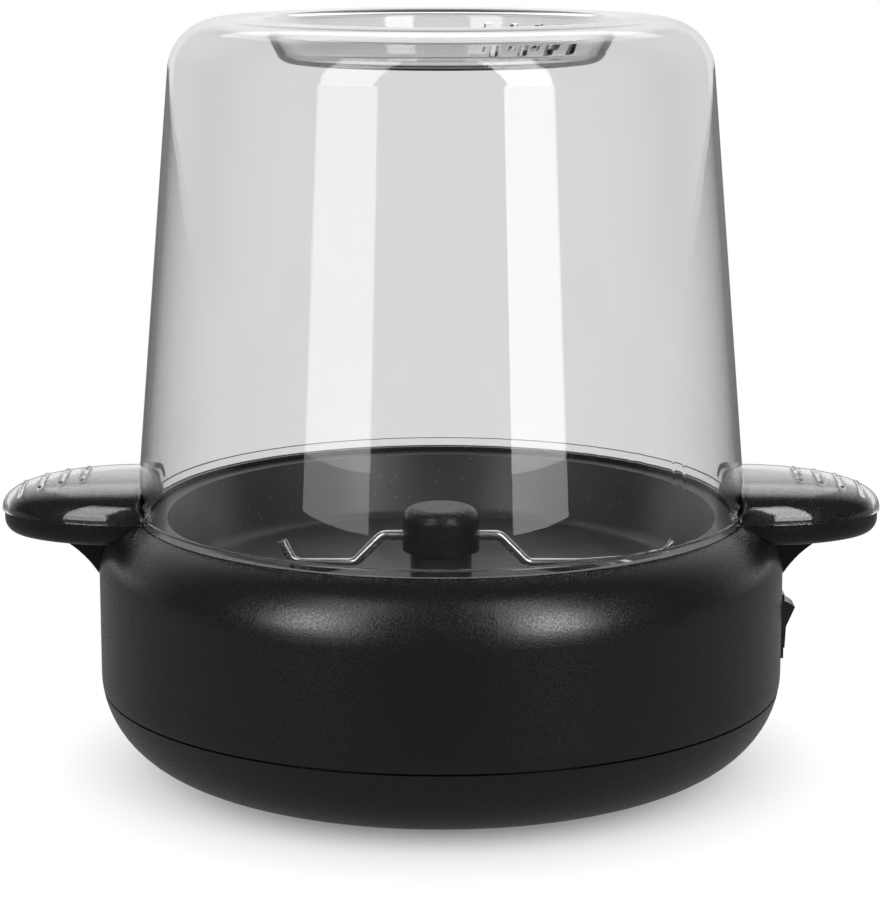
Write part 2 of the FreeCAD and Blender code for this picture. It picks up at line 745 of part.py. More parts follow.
def make_ear_ribs(name, angle):
    """Four low ribs that follow the crown of a handle shell."""
    body = new_body(name)
    centre = (EAR_CENTRE, "0", "base_height")
    grown = ("ear_length + rib_height", "ear_half_width + rib_height", "ear_height + rib_height")
    inside = ("ear_length - lid_wall / 2", "ear_half_width - lid_wall / 2", "ear_height - lid_wall / 2")
    ellipsoid(body, "crown", centre, grown)
    ellipsoid(body, "hollow", centre, inside, cut=True)
    slabs = []
    for index in range(4):
        x = f"({EAR_CENTRE} + ear_length - rib_from_tip - {index} * rib_pitch)"
        slabs.append(block(f"{name}_slab_{index}", (f"{x} - rib_width / 2", f"{x} + rib_width / 2"),
                           ("-rib_length / 2", "rib_length / 2"),
                           ("base_height + ear_bury", "base_height + 2 * ear_height")))
    ribs = overlap(f"{name}_cut", [body, group(f"{name}_slabs", slabs)])
    ribs.Placement.Rotation = FreeCAD.Rotation(Vector(0, 0, 1), angle)
    return ribs


def make_lid():
    """The whole lid: bowl, two handle shells and the vents of the well."""
    ears = [make_ear("lid_ear_right", 0), make_ear("lid_ear_left", 180)]
    ribs = [make_ear_ribs("lid_ribs_right", 0), make_ear_ribs("lid_ribs_left", 180)]
    whole = fuse("lid_whole", [make_lid_bowl()] + ears + ribs)
    middle = f"{LID_TOP} - well_rim_round - well_vent_drop"
    first = number("well_vent_first_deg")
    pitch = number("well_vent_pitch_deg")
    vents = []
    for index in range(4):
        for base, way in ((0, 1), (180, -1), (180, 1), (360, -1)):
            vent = block(f"lid_vent_{len(vents)}", ("0", "4 * lid_wall + well_taper"),
                         ("0", "well_vent_width"), ("0", "well_vent_height"))
            angle = base + way * (first + index * pitch)
            x = f"(well_radius - well_taper - lid_wall) * cos({angle}) + well_vent_width / 2 * sin({angle})"
            y = f"(well_radius - well_taper - lid_wall) * sin({angle}) - well_vent_width / 2 * cos({angle})"
            vent.Placement.Rotation = FreeCAD.Rotation(Vector(0, 0, 1), angle)
            place(vent, x, y, middle)
            vents.append(vent)
    return cut("lid", whole, group("lid_vents", vents))


def make_handle(name, angle):
    """Base handle: hollow tongue with a crowned top and a gusset under it."""
    body = new_body(name)
    inset = "(lid_wall + ear_gap)"
    slab = pad(body, ellipse(body, "plan", EAR_CENTRE, "0", "ear_length - handle_overhang",
                             "ear_half_width - handle_overhang", HANDLE_TOP), "handle_depth", down=True)
    low = number(HANDLE_UNDER)
    round_edges(body, slab, "handle_round", lambda edge: abs(edge.BoundBox.ZMax - low) < 0.01)
    ellipsoid(body, "crown", (EAR_CENTRE, "0", "base_height"),
              (f"ear_length - {inset}", f"ear_half_width - {inset}", f"ear_height - {inset}"))
    web = outline(body, "gusset", "XZ_Plane", [
        Corner(f"{RIM_RADIUS}", f"{HANDLE_UNDER} + handle_floor / 2"),
        Corner(f"{RIM_RADIUS}", f"{HANDLE_UNDER} - gusset_drop"),
        Corner(INNER_RADIUS, f"{HANDLE_UNDER} - gusset_drop", bend="-gusset_curve"),
        Corner("body_radius + gusset_reach", HANDLE_UNDER),
        Corner("body_radius + gusset_reach", f"{HANDLE_UNDER} + handle_floor / 2"),
    ])
    pad(body, web, "2 * gusset_half_width", both_ways=True)
    ellipsoid(body, "core", (EAR_CENTRE, "0", "base_height"),
              (f"ear_length - {inset} - handle_wall", f"ear_half_width - {inset} - handle_wall",
               f"ear_height - {inset} - handle_wall"), cut=True)
    floor = f"({HANDLE_UNDER} + handle_floor)"
    hollow = ellipse(body, "hollow", EAR_CENTRE, "0", f"ear_length - {inset} - handle_wall",
                     f"ear_half_width - {inset} - handle_wall", f"(base_height + {floor}) / 2")
    pocket(body, hollow, f"base_height - {floor}")
    arc_x = f"body_radius - {SHOULDER_RADIUS}"
    fit_rim = f"{arc_x} + sqrt(({SHOULDER_RADIUS} + handle_fit)^2 - shoulder_height^2)"
    trim = outline(body, "root", "XZ_Plane", [
        Corner("0", "0"),
        Corner("body_radius + handle_fit", "0"),
        Corner("body_radius + handle_fit", SHOULDER_BASE, bend=f"({SHOULDER_RADIUS} + handle_fit)"),
        Corner(fit_rim, "base_height"),
        Corner(f"{RIM_RADIUS} + plug_clearance", "base_height"),
        Corner(f"{RIM_RADIUS} + plug_clearance", "base_height + 2 * ear_height"),
        Corner("0", "base_height + 2 * ear_height"),
    ])
    turn(body, trim, cut=True)
    for end, across in (("front", "-"), ("rear", "")):
        pilot = circle(body, f"pilot_{end}", "YZ_Plane", f"{across}handle_screw_spread", HANDLE_SCREW_Z,
                       "handle_screw_radius + thread_clearance", INNER_RADIUS)
        pocket(body, pilot, "2 * (handle_screw_bite + screw_clearance)")
    body.Placement.Rotation = FreeCAD.Rotation(Vector(0, 0, 1), angle)
    return body


def make_handle_screws():
    """Four screws that hold the handles from inside the housing."""
    screws = []
    seat = f"({INNER_RADIUS} - handle_boss_depth)"
    for angle in (0, 180):
        for across in ("-", ""):
            name = f"handle_screw_{len(screws)}"
            shank = cylinder(f"{name}_shank", "handle_screw_radius", "0",
                             "handle_boss_depth + handle_screw_bite")
            head = cylinder(f"{name}_head", "handle_screw_head_radius", "0", "handle_screw_head_height")
            for piece, start in ((shank, seat), (head, f"{seat} - handle_screw_head_height")):
                place(piece, start, f"{across}handle_screw_spread", HANDLE_SCREW_Z)
                lay_along_x(piece)
            screw = fuse(name, [shank, head])
            screw.Placement.Rotation = FreeCAD.Rotation(Vector(0, 0, 1), angle)
            screws.append(screw)
    return group("handle_screws", screws)


def make_plate():
    """Cast popping plate: flange, dish, centre boss, heater ribs and lugs."""
    body = new_body("popping_plate")
    rib_in = "(heater_ring_radius - heater_tube - heater_rib_clearance)"
    rib_out = "(heater_ring_radius + heater_tube + heater_rib_clearance)"
    rib_low = f"{PLATE_UNDER} - heater_rib_height"
    turn(body, outline(body, "dish", "XZ_Plane", [
        Corner(f"{RIM_BORE} - plate_clearance", PLATE_SEAT),
        Corner(f"{RIM_BORE} - plate_clearance", PLATE_RIM),
        Corner(f"{PLATE_OUTER} - plate_wall", PLATE_RIM),
        Corner(PLATE_FOOT, PLATE_FLOOR, "plate_corner"),
        Corner("plate_boss_radius", PLATE_FLOOR),
        Corner("plate_boss_radius", f"{PLATE_FLOOR} + plate_boss_height"),
        Corner("shaft_radius + shaft_bush_wall", f"{PLATE_FLOOR} + plate_boss_height"),
        Corner("shaft_radius + shaft_bush_wall", PLATE_UNDER),
        Corner(f"{rib_in} - heater_rib_width", PLATE_UNDER),
        Corner(f"{rib_in} - heater_rib_width", rib_low),
        Corner(rib_in, rib_low),
        Corner(rib_in, PLATE_UNDER),
        Corner(rib_out, PLATE_UNDER),
        Corner(rib_out, rib_low),
        Corner(f"{rib_out} + heater_rib_width", rib_low),
        Corner(f"{rib_out} + heater_rib_width", PLATE_UNDER),
        Corner(f"{PLATE_OUTER} - plate_slope", PLATE_UNDER, "plate_corner"),
        Corner(PLATE_OUTER, PLATE_SEAT),
    ]))
    round_lug = circle(body, "lug", "XY_Plane", "0", "plate_lug_ring", "plate_lug_radius",
                       f"{PLATE_UNDER} + plate_thickness / 2")
    lug = pad(body, round_lug, "shield_gap + plate_thickness / 2", down=True)
    polar(body, [lug], 3)
    hole = pocket(body, circle(body, "thread", "XY_Plane", "0", "plate_lug_ring",
                               "shield_screw_radius + thread_clearance", SHIELD_TOP),
                  "2 * (shield_screw_bite + screw_clearance)")
    polar(body, [hole], 3)
    return body


def make_shield():
    """Drawn steel heat shield that clamps the ledge from below."""
    body = new_body("heat_shield")
    flange = f"({SHIELD_BORE} + shield_flange)"
    turn(body, outline(body, "dish", "XZ_Plane", [
        Corner(flange, LEDGE_UNDER),
        Corner(f"{SHIELD_BORE}", LEDGE_UNDER),
        Corner(f"{SHIELD_BORE} - shield_slope", SHIELD_TOP),
        Corner("shield_hole", SHIELD_TOP),
        Corner("shield_hole", SHIELD_UNDER),
        Corner(f"{SHIELD_BORE} - shield_slope + shield_sheet", SHIELD_UNDER),
        Corner(f"{SHIELD_BORE} + shield_sheet", f"{LEDGE_UNDER} - shield_sheet"),
        Corner(flange, f"{LEDGE_UNDER} - shield_sheet"),
    ]))
    hole = pocket(body, circle(body, "screw", "XY_Plane", "0", "plate_lug_ring",
                               "shield_screw_radius + screw_clearance", SHIELD_TOP), "4 * shield_sheet")
    polar(body, [hole], 3)
    for end, way in (("front", "-"), ("rear", "")):
        x, y = around("heater_ring_radius", f"{way}heater_gap_deg / 2")
        pocket(body, circle(body, f"leg_{end}", "XY_Plane", x, y, "heater_tube + bush_wall + bush_clearance",
                            SHIELD_TOP), "4 * shield_sheet")
    for end, way in (("left", "-"), ("right", "")):
        pocket(body, circle(body, f"motor_{end}", "XY_Plane", f"{way}case_lug_ring", "0",
                            "motor_screw_radius + screw_clearance", SHIELD_TOP), "4 * shield_sheet")
    return body


def make_shield_screws():
    """Three screws from under the shield into the plate lugs."""
    screws = []
    for angle in (90, 210, 330):
        name = f"shield_screw_{len(screws)}"
        x, y = around("plate_lug_ring", angle)
        shank = cylinder(f"{name}_shank", "shield_screw_radius", SHIELD_UNDER,
                         f"{SHIELD_TOP} + shield_screw_bite", x, y)
        head = cylinder(f"{name}_head", "shield_screw_head_radius",
                        f"{SHIELD_UNDER} - shield_screw_head_height", SHIELD_UNDER, x, y)
        screws.append(fuse(name, [shank, head]))
    return group("shield_screws", screws)


def make_heater():
    """Tubular heating element: an open ring with two legs down to its ends."""
    height = f"({PLATE_UNDER} - heater_tube)"
    loop = DOC.addObject("Part::Torus", "heater_loop")
    tie(loop, "Radius1", "heater_ring_radius")
    tie(loop, "Radius2", "heater_tube")
    tie(loop, "Angle3", "360 - heater_gap_deg")
    loop.Placement.Rotation = FreeCAD.Rotation(Vector(0, 0, 1), number("heater_gap_deg / 2"))
    place(loop, z=height)
    pieces = [loop]
    for way in ("-", ""):
        x, y = around("heater_ring_radius", f"{way}heater_gap_deg / 2")
        knee = DOC.addObject("Part::Sphere", f"heater_knee_{len(pieces)}")
        tie(knee, "Radius", "heater_tube")
        place(knee, x, y, height)
        pieces.append(knee)
        pieces.append(cylinder(f"heater_leg_{len(pieces)}", "heater_tube", f"{height} - heater_leg", height,
                               x, y))
    return fuse("heating_element", pieces)


def make_heater_bushes():
    """Ceramic bushes that carry the element legs through the shield."""
    bushes = []
    for way in ("-", ""):
        name = f"heater_bush_{len(bushes)}"
        x, y = around("heater_ring_radius", f"{way}heater_gap_deg / 2")
        neck = cylinder(f"{name}_neck", "heater_tube + bush_wall", f"{SHIELD_UNDER} - bush_flange_height",
                        f"{SHIELD_TOP} + bush_flange_height", x, y)
        rim = cylinder(f"{name}_rim", "heater_tube + bush_wall + bush_flange", SHIELD_TOP,
                       f"{SHIELD_TOP} + bush_flange_height", x, y)
        bore = cylinder(f"{name}_bore", "heater_tube + bush_clearance", f"{SHIELD_UNDER} - shield_gap",
                        f"{SHIELD_TOP} + shield_gap", x, y)
        bushes.append(cut(name, fuse(f"{name}_whole", [neck, rim]), bore))
    return group("heater_bushes", bushes)


def make_controls():
    """Thermostat, thermal fuse and the clip that holds the fuse to the plate."""
    y = "thermostat_ring"
    cap_low = f"{PLATE_UNDER} - thermostat_cap_height"
    base_low = f"({cap_low} - thermostat_base_height)"
    pieces = [cylinder("thermostat_cap", "thermostat_cap_radius", cap_low, PLATE_UNDER, "0", y),
              cylinder("thermostat_base", "thermostat_base_radius", base_low, cap_low, "0", y)]
    for way in ("-", ""):
        x = f"{way}thermostat_base_radius"
        low, high = (x, f"{x} + blade_length") if way else (f"{x} - blade_length", x)
        reach = (f"{low} - blade_length / 2", high) if way else (low, f"{high} + blade_length / 2")
        pieces.append(block(f"thermostat_blade_{len(pieces)}", reach,
                            (f"{y} - blade_width / 2", f"{y} + blade_width / 2"),
                            (base_low, f"{base_low} + blade_thickness")))
    fuse("thermostat", pieces)
    height = f"({PLATE_UNDER} - fuse_radius)"
    start = "-fuse_length / 2"
    fuse_parts = [cylinder("fuse_barrel", "fuse_radius", "0", "fuse_length"),
                  cylinder("fuse_leads", "fuse_lead_radius", "0", "fuse_length + 2 * fuse_lead_length")]
    for piece, x in zip(fuse_parts, (start, f"{start} - fuse_lead_length")):
        place(piece, x, "-fuse_ring", height)
        lay_along_x(piece)
    fuse("thermal_fuse", fuse_parts)
    body = new_body("fuse_clip")
    inner = "(fuse_radius + clip_sheet / 4)"
    low = f"{PLATE_UNDER} - 2 * fuse_radius - clip_sheet / 4"
    turned = [("clip_foot", "0"), ("clip_foot", "clip_sheet"), ("clip_sheet", "clip_sheet")]
    corners = [Corner(f"-fuse_ring + {inner} + {a}", f"{PLATE_UNDER} - {b}") for a, b in turned]
    corners += [Corner(f"-fuse_ring + {inner} + clip_sheet", f"{low} - clip_sheet"),
                Corner(f"-fuse_ring - {inner} - clip_sheet", f"{low} - clip_sheet")]
    corners += [Corner(f"-fuse_ring - {inner} - {a}", f"{PLATE_UNDER} - {b}") for a, b in reversed(turned)]
    corners += [Corner(f"-fuse_ring - {inner}", PLATE_UNDER), Corner(f"-fuse_ring - {inner}", low),
                Corner(f"-fuse_ring + {inner}", low), Corner(f"-fuse_ring + {inner}", PLATE_UNDER)]
    pad(body, outline(body, "strap", "YZ_Plane", corners), "clip_width", both_ways=True)


def make_stirrer():
    """Drive shaft, hub and the two bent wire arms."""
    bush_top = f"{PLATE_FLOOR} + plate_boss_height"
    ring("shaft_bush", "shaft_radius + shaft_bush_wall", "shaft_radius + running_clearance", PLATE_UNDER,
         bush_top)
    rod = cylinder("shaft_rod", "shaft_radius", f"{CASE_BASE} + case_wall + axial_play", SHAFT_TOP)
    flat = block("shaft_flat_cut", ("shaft_radius - shaft_flat", "2 * shaft_radius"),
                 ("-2 * shaft_radius", "2 * shaft_radius"), (f"{HUB_BASE}", f"{SHAFT_TOP} + hub_roof"))
    cut("drive_shaft", rod, flat)
    make_hub()
    make_arm("stir_arm_long", f"({PLATE_FOOT} - arm_wall_gap)", 0)
    make_arm("stir_arm_short", f"({PLATE_FOOT} - arm_short_gap)", 180)


def make_hub():
    """Moulded hub with a D bore for the shaft and two arm sockets."""
    body = new_body("stir_hub")
    high = f"{HUB_BASE} + hub_height"
    turn(body, outline(body, "knob", "XZ_Plane", [
        Corner("0", HUB_BASE),
        Corner("hub_radius", HUB_BASE),
        Corner("hub_radius", high, "hub_round"),
        Corner("0", high),
    ]))
    bore = "(shaft_radius + socket_clearance)"
    flat = "(shaft_radius - shaft_flat + socket_clearance)"
    chord = f"sqrt({bore}^2 - {flat}^2)"
    d_bore = outline(body, "bore", "XY_Plane", [
        Corner(flat, f"-{chord}"),
        Corner(flat, chord, bend=bore),
        Corner(f"-{bore}", "0", bend=bore),
    ], HUB_BASE)
    pocket(body, d_bore, f"2 * ({SHAFT_TOP} - {HUB_BASE} + screw_clearance)")
    for side, way in (("right", ""), ("left", "-")):
        socket = circle(body, f"socket_{side}", "YZ_Plane", "0", f"{HUB_BASE} + hub_socket_rise",
                        "arm_radius + socket_clearance", f"{way}hub_radius")
        pocket(body, socket, "2 * (hub_radius - shaft_radius - hub_socket_floor)")


def make_arm(name, reach, angle):
    """Bent wire arm: out of the hub, down to the plate, out and up at the tip."""
    body = new_body(name)
    start = "(shaft_radius + hub_socket_floor)"
    high = f"({HUB_BASE} + hub_socket_rise)"
    low = f"({PLATE_FLOOR} + arm_clearance + arm_radius)"
    shelf = "(hub_radius + arm_shelf)"
    path = outline(body, "path", "XZ_Plane", [
        Corner(start, high),
        Corner(shelf, high, "arm_bend"),
        Corner(f"{shelf} + arm_slope", low, "arm_bend"),
        Corner(f"{reach} - arm_tip_rise / 2", low, "arm_bend"),
        Corner(reach, f"{low} + arm_tip_rise"),
    ], closed=False)
    wire = circle(body, "wire", "YZ_Plane", "0", high, "arm_radius", start)
    pipe = body.newObject("PartDesign::AdditivePipe", f"{name}_pipe")
    pipe.Profile = wire
    pipe.Spine = path
    body.Placement.Rotation = FreeCAD.Rotation(Vector(0, 0, 1), angle)


def make_motor():
    """Geared motor: can, gear case with lugs, spacers, screws and nuts."""
    cylinder("motor_can", "can_radius", CAN_BASE, CASE_BASE).Label = "motor_can"
    body = new_body("gear_case")
    pad(body, circle(body, "case", "XY_Plane", "0", "0", "case_radius", CASE_BASE), "case_height")
    lugs = [circle(body, f"lug_{side}", "XY_Plane", f"{way}case_lug_ring", "0", "case_lug_radius", CASE_TOP)
            for side, way in (("right", ""), ("left", "-"))]
    arm = rectangle(body, "lug_arm", "XY_Plane", "0", "0", "2 * case_lug_ring", "2 * case_lug_radius",
                    CASE_TOP)
    for sketch in [arm] + lugs:
        pad(body, sketch, "case_lug_sheet", down=True)
    for side, way in (("right", ""), ("left", "-")):
        pocket(body, circle(body, f"hole_{side}", "XY_Plane", f"{way}case_lug_ring", "0",
                            "motor_screw_radius + screw_clearance", CASE_TOP), "4 * case_lug_sheet")
    pocket(body, circle(body, "bore", "XY_Plane", "0", "0", "shaft_radius + running_clearance", CASE_TOP),
           "2 * (case_height - case_wall)")
    spacers, screws, nuts = [], [], []
    for way in ("-", ""):
        x = f"{way}case_lug_ring"
        index = len(spacers)
        spacers.append(ring(f"motor_spacer_{index}", "spacer_radius", "motor_screw_radius + screw_clearance",
                            CASE_TOP, SHIELD_UNDER, x))
        under = f"({CASE_TOP} - case_lug_sheet)"
        nut_top = f"({SHIELD_TOP} + motor_nut_height)"
        shank = cylinder(f"motor_screw_{index}_shank", "motor_screw_radius", under,
                         f"{nut_top} + screw_clearance", x)
        head = cylinder(f"motor_screw_{index}_head", "motor_screw_head_radius",
                        f"{under} - motor_screw_head_height", under, x)
        screws.append(fuse(f"motor_screw_{index}", [shank, head]))
        prism = DOC.addObject("Part::Prism", f"motor_nut_{index}_hex")
        tie(prism, "Circumradius", "motor_nut_radius")
        tie(prism, "Height", "motor_nut_height")
        place(prism, x, "0", SHIELD_TOP)
        thread = cylinder(f"motor_nut_{index}_thread", "motor_screw_radius + thread_clearance", SHIELD_UNDER,
                          f"{nut_top} + motor_nut_height", x)
        nuts.append(cut(f"motor_nut_{index}", prism, thread))
    group("motor_spacers", spacers)
    group("motor_screws", screws)
    group("motor_nuts", nuts)


def make_switch():
    """Rocker switch: bezel with body, blade terminals and the rocker."""
    body = new_body("switch_frame")
    back = f"({SWITCH_SEAT} - switch_body_depth)"
    face = f"({SWITCH_SEAT} + bezel_thickness)"
    pad(body, rectangle(body, "bezel", "YZ_Plane", "0", SWITCH_Z, "bezel_width", "bezel_height", SWITCH_SEAT),
        "bezel_thickness")
    box = rectangle(body, "box", "YZ_Plane", "0", SWITCH_Z, "switch_body_width", "switch_body_height", back)
    pad(body, box, "switch_body_depth")
    wide = "(switch_body_width - 2 * switch_wall)"
    opening = rectangle(body, "opening", "YZ_Plane", "0", SWITCH_Z, wide,
                        "switch_body_height - 2 * switch_wall", face)
    pocket(body, opening, "2 * (bezel_thickness + rocker_pocket_depth)")
    pivot_x = f"({face} - rocker_pivot_depth)"
    pivot = circle(body, "pivot", "XZ_Plane", pivot_x, SWITCH_Z, "rocker_pivot_radius + running_clearance")
    pocket(body, pivot, "switch_body_width - switch_wall / 2")
    blades = [block(f"switch_blade_{i}", (f"{back} - terminal_length", back),
                    ("-terminal_width / 2", "terminal_width / 2"),
                    (f"{SWITCH_Z} + {i} * terminal_pitch - terminal_sheet / 2",
                     f"{SWITCH_Z} + {i} * terminal_pitch + terminal_sheet / 2")) for i in (-1, 0, 1)]
    group("switch_terminals", blades)
    rocker = new_body("rocker")
    ends = "sqrt(rocker_radius^2 - rocker_face^2)"
    back_ends = "sqrt(rocker_radius^2 - rocker_back^2)"
    side = outline(rocker, "side", "XZ_Plane", [
        Corner("rocker_face", f"-{ends}"),
        Corner("rocker_face - rocker_dish", "0"),
        Corner("rocker_face", ends, bend="rocker_radius"),
        Corner("-rocker_back", back_ends),
        Corner("-rocker_back", f"-{back_ends}", bend="rocker_radius"),
    ])
    pad(rocker, side, f"{wide} - 2 * rocker_side_gap", both_ways=True)
    pad(rocker, circle(rocker, "stub", "XZ_Plane", "0", "0", "rocker_pivot_radius"),
        f"{wide} + switch_wall - 4 * running_clearance", both_ways=True)
    rocker.Placement.Rotation = FreeCAD.Rotation(Vector(0, 1, 0), number("rocker_tilt_deg"))
    place(rocker, pivot_x, "0", SWITCH_Z)


def make_gland():
    """Rubber gland where the mains lead would leave at the rear."""
    body = new_body("cord_gland")
    deep = f"({INNER_RADIUS} - body_wall - gland_inside)"
    seat = "(body_radius - gland_recess)"
    turn(body, outline(body, "bush", "XZ_Plane", [
        Corner("gland_bore", deep),
        Corner("gland_neck", deep),
        Corner("gland_neck", seat),
        Corner("gland_flange", seat),
        Corner("gland_flange", f"{seat} + gland_flange_thickness"),
        Corner("gland_bore", f"{seat} + gland_flange_thickness"),
    ]))
    body.Placement.Rotation = FreeCAD.Rotation(Vector(1, 0, 0), -90)
    place(body, z="gland_height")


def make_feet():
    """Four rubber feet, each with a plug through the cover."""
    for corner, angle in (("rear_right", 45), ("rear_left", 135), ("front_left", 225), ("front_right", 315)):
        x, y = around("foot_ring", angle)
        name = f"foot_{corner}"
        fuse(name, [cylinder(f"{name}_pad", "foot_radius", "0", "foot_height + foot_recess", x, y),
                    cylinder(f"{name}_plug", "foot_plug_radius", "0", "foot_height + foot_plug_length",
                             x, y)])


def make_cover_screws():
    """Four screws up the towers of the bottom cover."""
    screws = []
    seat = "(tower_top - cover_screw_grip)"
    for angle in (45, 135, 225, 315):
        name = f"cover_screw_{len(screws)}"
        x, y = around(TOWER_RING, angle)
        shank = cylinder(f"{name}_shank", "cover_screw_radius", seat, "tower_top + cover_screw_bite", x, y)
        head = cylinder(f"{name}_head", "cover_screw_head_radius", f"{seat} - cover_screw_head_height", seat,
                        x, y)
        screws.append(fuse(name, [shank, head]))
    return group("cover_screws", screws)


NODES = (
    "base_housing", "bottom_cover", "left_handle", "right_handle", "handle_screws", "cover_screws",
    "foot_rear_right", "foot_rear_left", "foot_front_left", "foot_front_right", "cord_gland",
    "switch_frame", "switch_terminals", "rocker", "popping_plate", "plate_seal", "heat_shield",
    "shield_screws", "heating_element", "heater_bushes", "thermostat", "thermal_fuse", "fuse_clip",
    "motor_can", "gear_case", "motor_spacers", "motor_screws", "motor_nuts", "shaft_bush",
    "drive_shaft", "stir_hub", "stir_arm_long", "stir_arm_short", "lid",
)


def main():
    """Build every sub-part, check it and write it out."""
    make_housing()
    make_cover()
    make_lid()
    make_handle("right_handle", 0)
    make_handle("left_handle", 180)
    make_handle_screws()
    make_cover_screws()
    make_feet()
    make_gland()
    make_switch()
    make_plate()
    ring("plate_seal", f"{RIM_BORE} - plate_clearance", LEDGE_BORE, LEDGE_TOP, PLATE_SEAT)
    make_shield()
    make_shield_screws()
    make_heater()
    make_heater_bushes()
    make_controls()
    make_stirrer()
    make_motor()
    DOC.recompute()
    for item in DOC.Objects:
        if "Invalid" in item.State or "Error" in item.State:
            raise RuntimeError(f"{item.Name} failed to build: {item.State}")
    for node in NODES:
        shape = DOC.getObject(node).Shape
        if shape.isNull() or not shape.isValid() or not shape.Solids:
            raise RuntimeError(f"{node} has no sound solid")
        shape.exportStep(f"parts/{node}.step")


main()
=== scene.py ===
"""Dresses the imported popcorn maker: clear lid, handle tops, finishes, studio and camera."""
import logging
from collections.abc import Callable
from dataclasses import dataclass, field
from enum import Enum
from functools import cache
from math import radians

import bmesh
import bpy
import numpy as np
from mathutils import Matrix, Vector


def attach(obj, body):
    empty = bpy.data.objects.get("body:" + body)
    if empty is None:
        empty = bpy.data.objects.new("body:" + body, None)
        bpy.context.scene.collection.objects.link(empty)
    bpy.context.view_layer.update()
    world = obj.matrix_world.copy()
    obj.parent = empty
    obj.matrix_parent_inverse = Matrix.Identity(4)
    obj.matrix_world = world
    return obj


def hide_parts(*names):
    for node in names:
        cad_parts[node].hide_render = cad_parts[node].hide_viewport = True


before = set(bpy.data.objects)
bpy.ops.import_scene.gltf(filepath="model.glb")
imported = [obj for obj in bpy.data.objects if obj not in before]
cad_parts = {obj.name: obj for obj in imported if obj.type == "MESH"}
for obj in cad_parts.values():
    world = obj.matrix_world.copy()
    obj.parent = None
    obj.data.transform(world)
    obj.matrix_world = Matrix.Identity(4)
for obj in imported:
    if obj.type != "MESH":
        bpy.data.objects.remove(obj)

log = logging.getLogger("popcorn_maker")
Colour = tuple[float, float, float]
Point = tuple[float, float, float]
Surface = tuple[np.ndarray, np.ndarray]
Socket = bpy.types.NodeSocket
WHITE = (1.0, 1.0, 1.0, 1.0)
MM = 0.001
MERGE_WITHIN = 0.002 * MM
SHARP_DEG = 38.0


class Grain(Enum):
    """How the fine lines of a metal run."""

    TURNED = (1.0, 1.0, 30.0)
    DRAWN = (0.05, 1.0, 1.0)
    ROLLED = (1.0, 0.06, 1.0)


class Shader:
    """Node tree of one material, with short calls for the nodes that the finishes share."""

    def __init__(self, name: str) -> None:
        """Start a material that has a Principled surface and object coordinates."""
        self.material = bpy.data.materials.new(name)
        self.material.use_nodes = True
        self.tree = self.material.node_tree
        self.surface = self.tree.nodes["Principled BSDF"]
        self.place = self.tree.nodes.new("ShaderNodeTexCoord").outputs["Object"]

    def node(self, kind: str, inputs: dict[str | int, object], **settings: object) -> bpy.types.Node:
        """Add a node and fill its sockets.

        Args:
            kind: Blender's name of the node type.
            inputs: values or sockets by the name or number of the input.
            settings: attributes of the node itself.

        Returns:
            The new node.
        """
        node = self.tree.nodes.new(kind)
        for name, value in settings.items():
            setattr(node, name, value)
        for name, value in inputs.items():
            if isinstance(value, Socket):
                self.tree.links.new(value, node.inputs[name])
            else:
                node.inputs[name].default_value = value
        return node

    def stretched(self, scale: Point) -> Socket:
        """Return the object coordinates scaled by axis."""
        return self.node("ShaderNodeMapping", {"Vector": self.place, "Scale": scale}).outputs["Vector"]

    def noise(self, scale: float, detail: float, place: Socket | None = None) -> Socket:
        """Return fractal noise.

        Args:
            scale: cells in a metre.
            detail: octaves of finer noise.
            place: coordinates, the object's own where none are given.

        Returns:
            The noise, mostly between 0.3 and 0.7.
        """
        return self.node(
            "ShaderNodeTexNoise", {"Vector": place or self.place, "Scale": scale, "Detail": detail}
        ).outputs["Fac"]

    def spread(
        self, value: Socket, low: float, high: float, start: float = 0.3, end: float = 0.7
    ) -> Socket:
        """Carry a value from one range over to another, and hold it at the ends.

        Args:
            value: the value to carry over.
            low: result at start.
            high: result at end.
            start: first end of the value's range, by default that of noise.
            end: other end of the value's range.

        Returns:
            The carried value.
        """
        return self.node(
            "ShaderNodeMapRange",
            {"Value": value, "From Min": start, "From Max": end, "To Min": low, "To Max": high},
        ).outputs["Result"]

    def tint(self, share: Socket, first: Colour, second: Colour) -> Socket:
        """Return a colour that goes from first to second with share."""
        return self.node(
            "ShaderNodeMix", {0: share, 6: (*first, 1.0), 7: (*second, 1.0)}, data_type="RGBA"
        ).outputs[2]

    def bump(self, height: Socket, depth: float) -> Socket:
        """Return the normals of a relief of 0 to 1 whose depth is in metres."""
        inputs = {"Height": height, "Distance": depth, "Strength": 1.0}
        return self.node("ShaderNodeBump", inputs).outputs["Normal"]

    def math(self, operation: str, first: Socket | float, second: Socket | float) -> Socket:
        """Return the result of an operation on two values."""
        return self.node("ShaderNodeMath", {0: first, 1: second}, operation=operation).outputs[0]

    def mixed(self, share: Socket, first: bpy.types.Node, second: bpy.types.Node) -> bpy.types.Node:
        """Return a node that goes from the first shader to the second with share."""
        return self.node("ShaderNodeMixShader", {0: share, 1: first.outputs[0], 2: second.outputs[0]})

    def end(self, shader: bpy.types.Node, socket: str = "Surface") -> None:
        """Make a shader the material's surface or volume."""
        self.tree.links.new(shader.outputs[0], self.tree.nodes["Material Output"].inputs[socket])

    def feed(self, **sockets: object) -> None:
        """Set or link inputs of the surface, named with underscores for spaces."""
        for name, value in sockets.items():
            target = self.surface.inputs[name.replace("_", " ")]
            if isinstance(value, Socket):
                self.tree.links.new(value, target)
            else:
                target.default_value = value


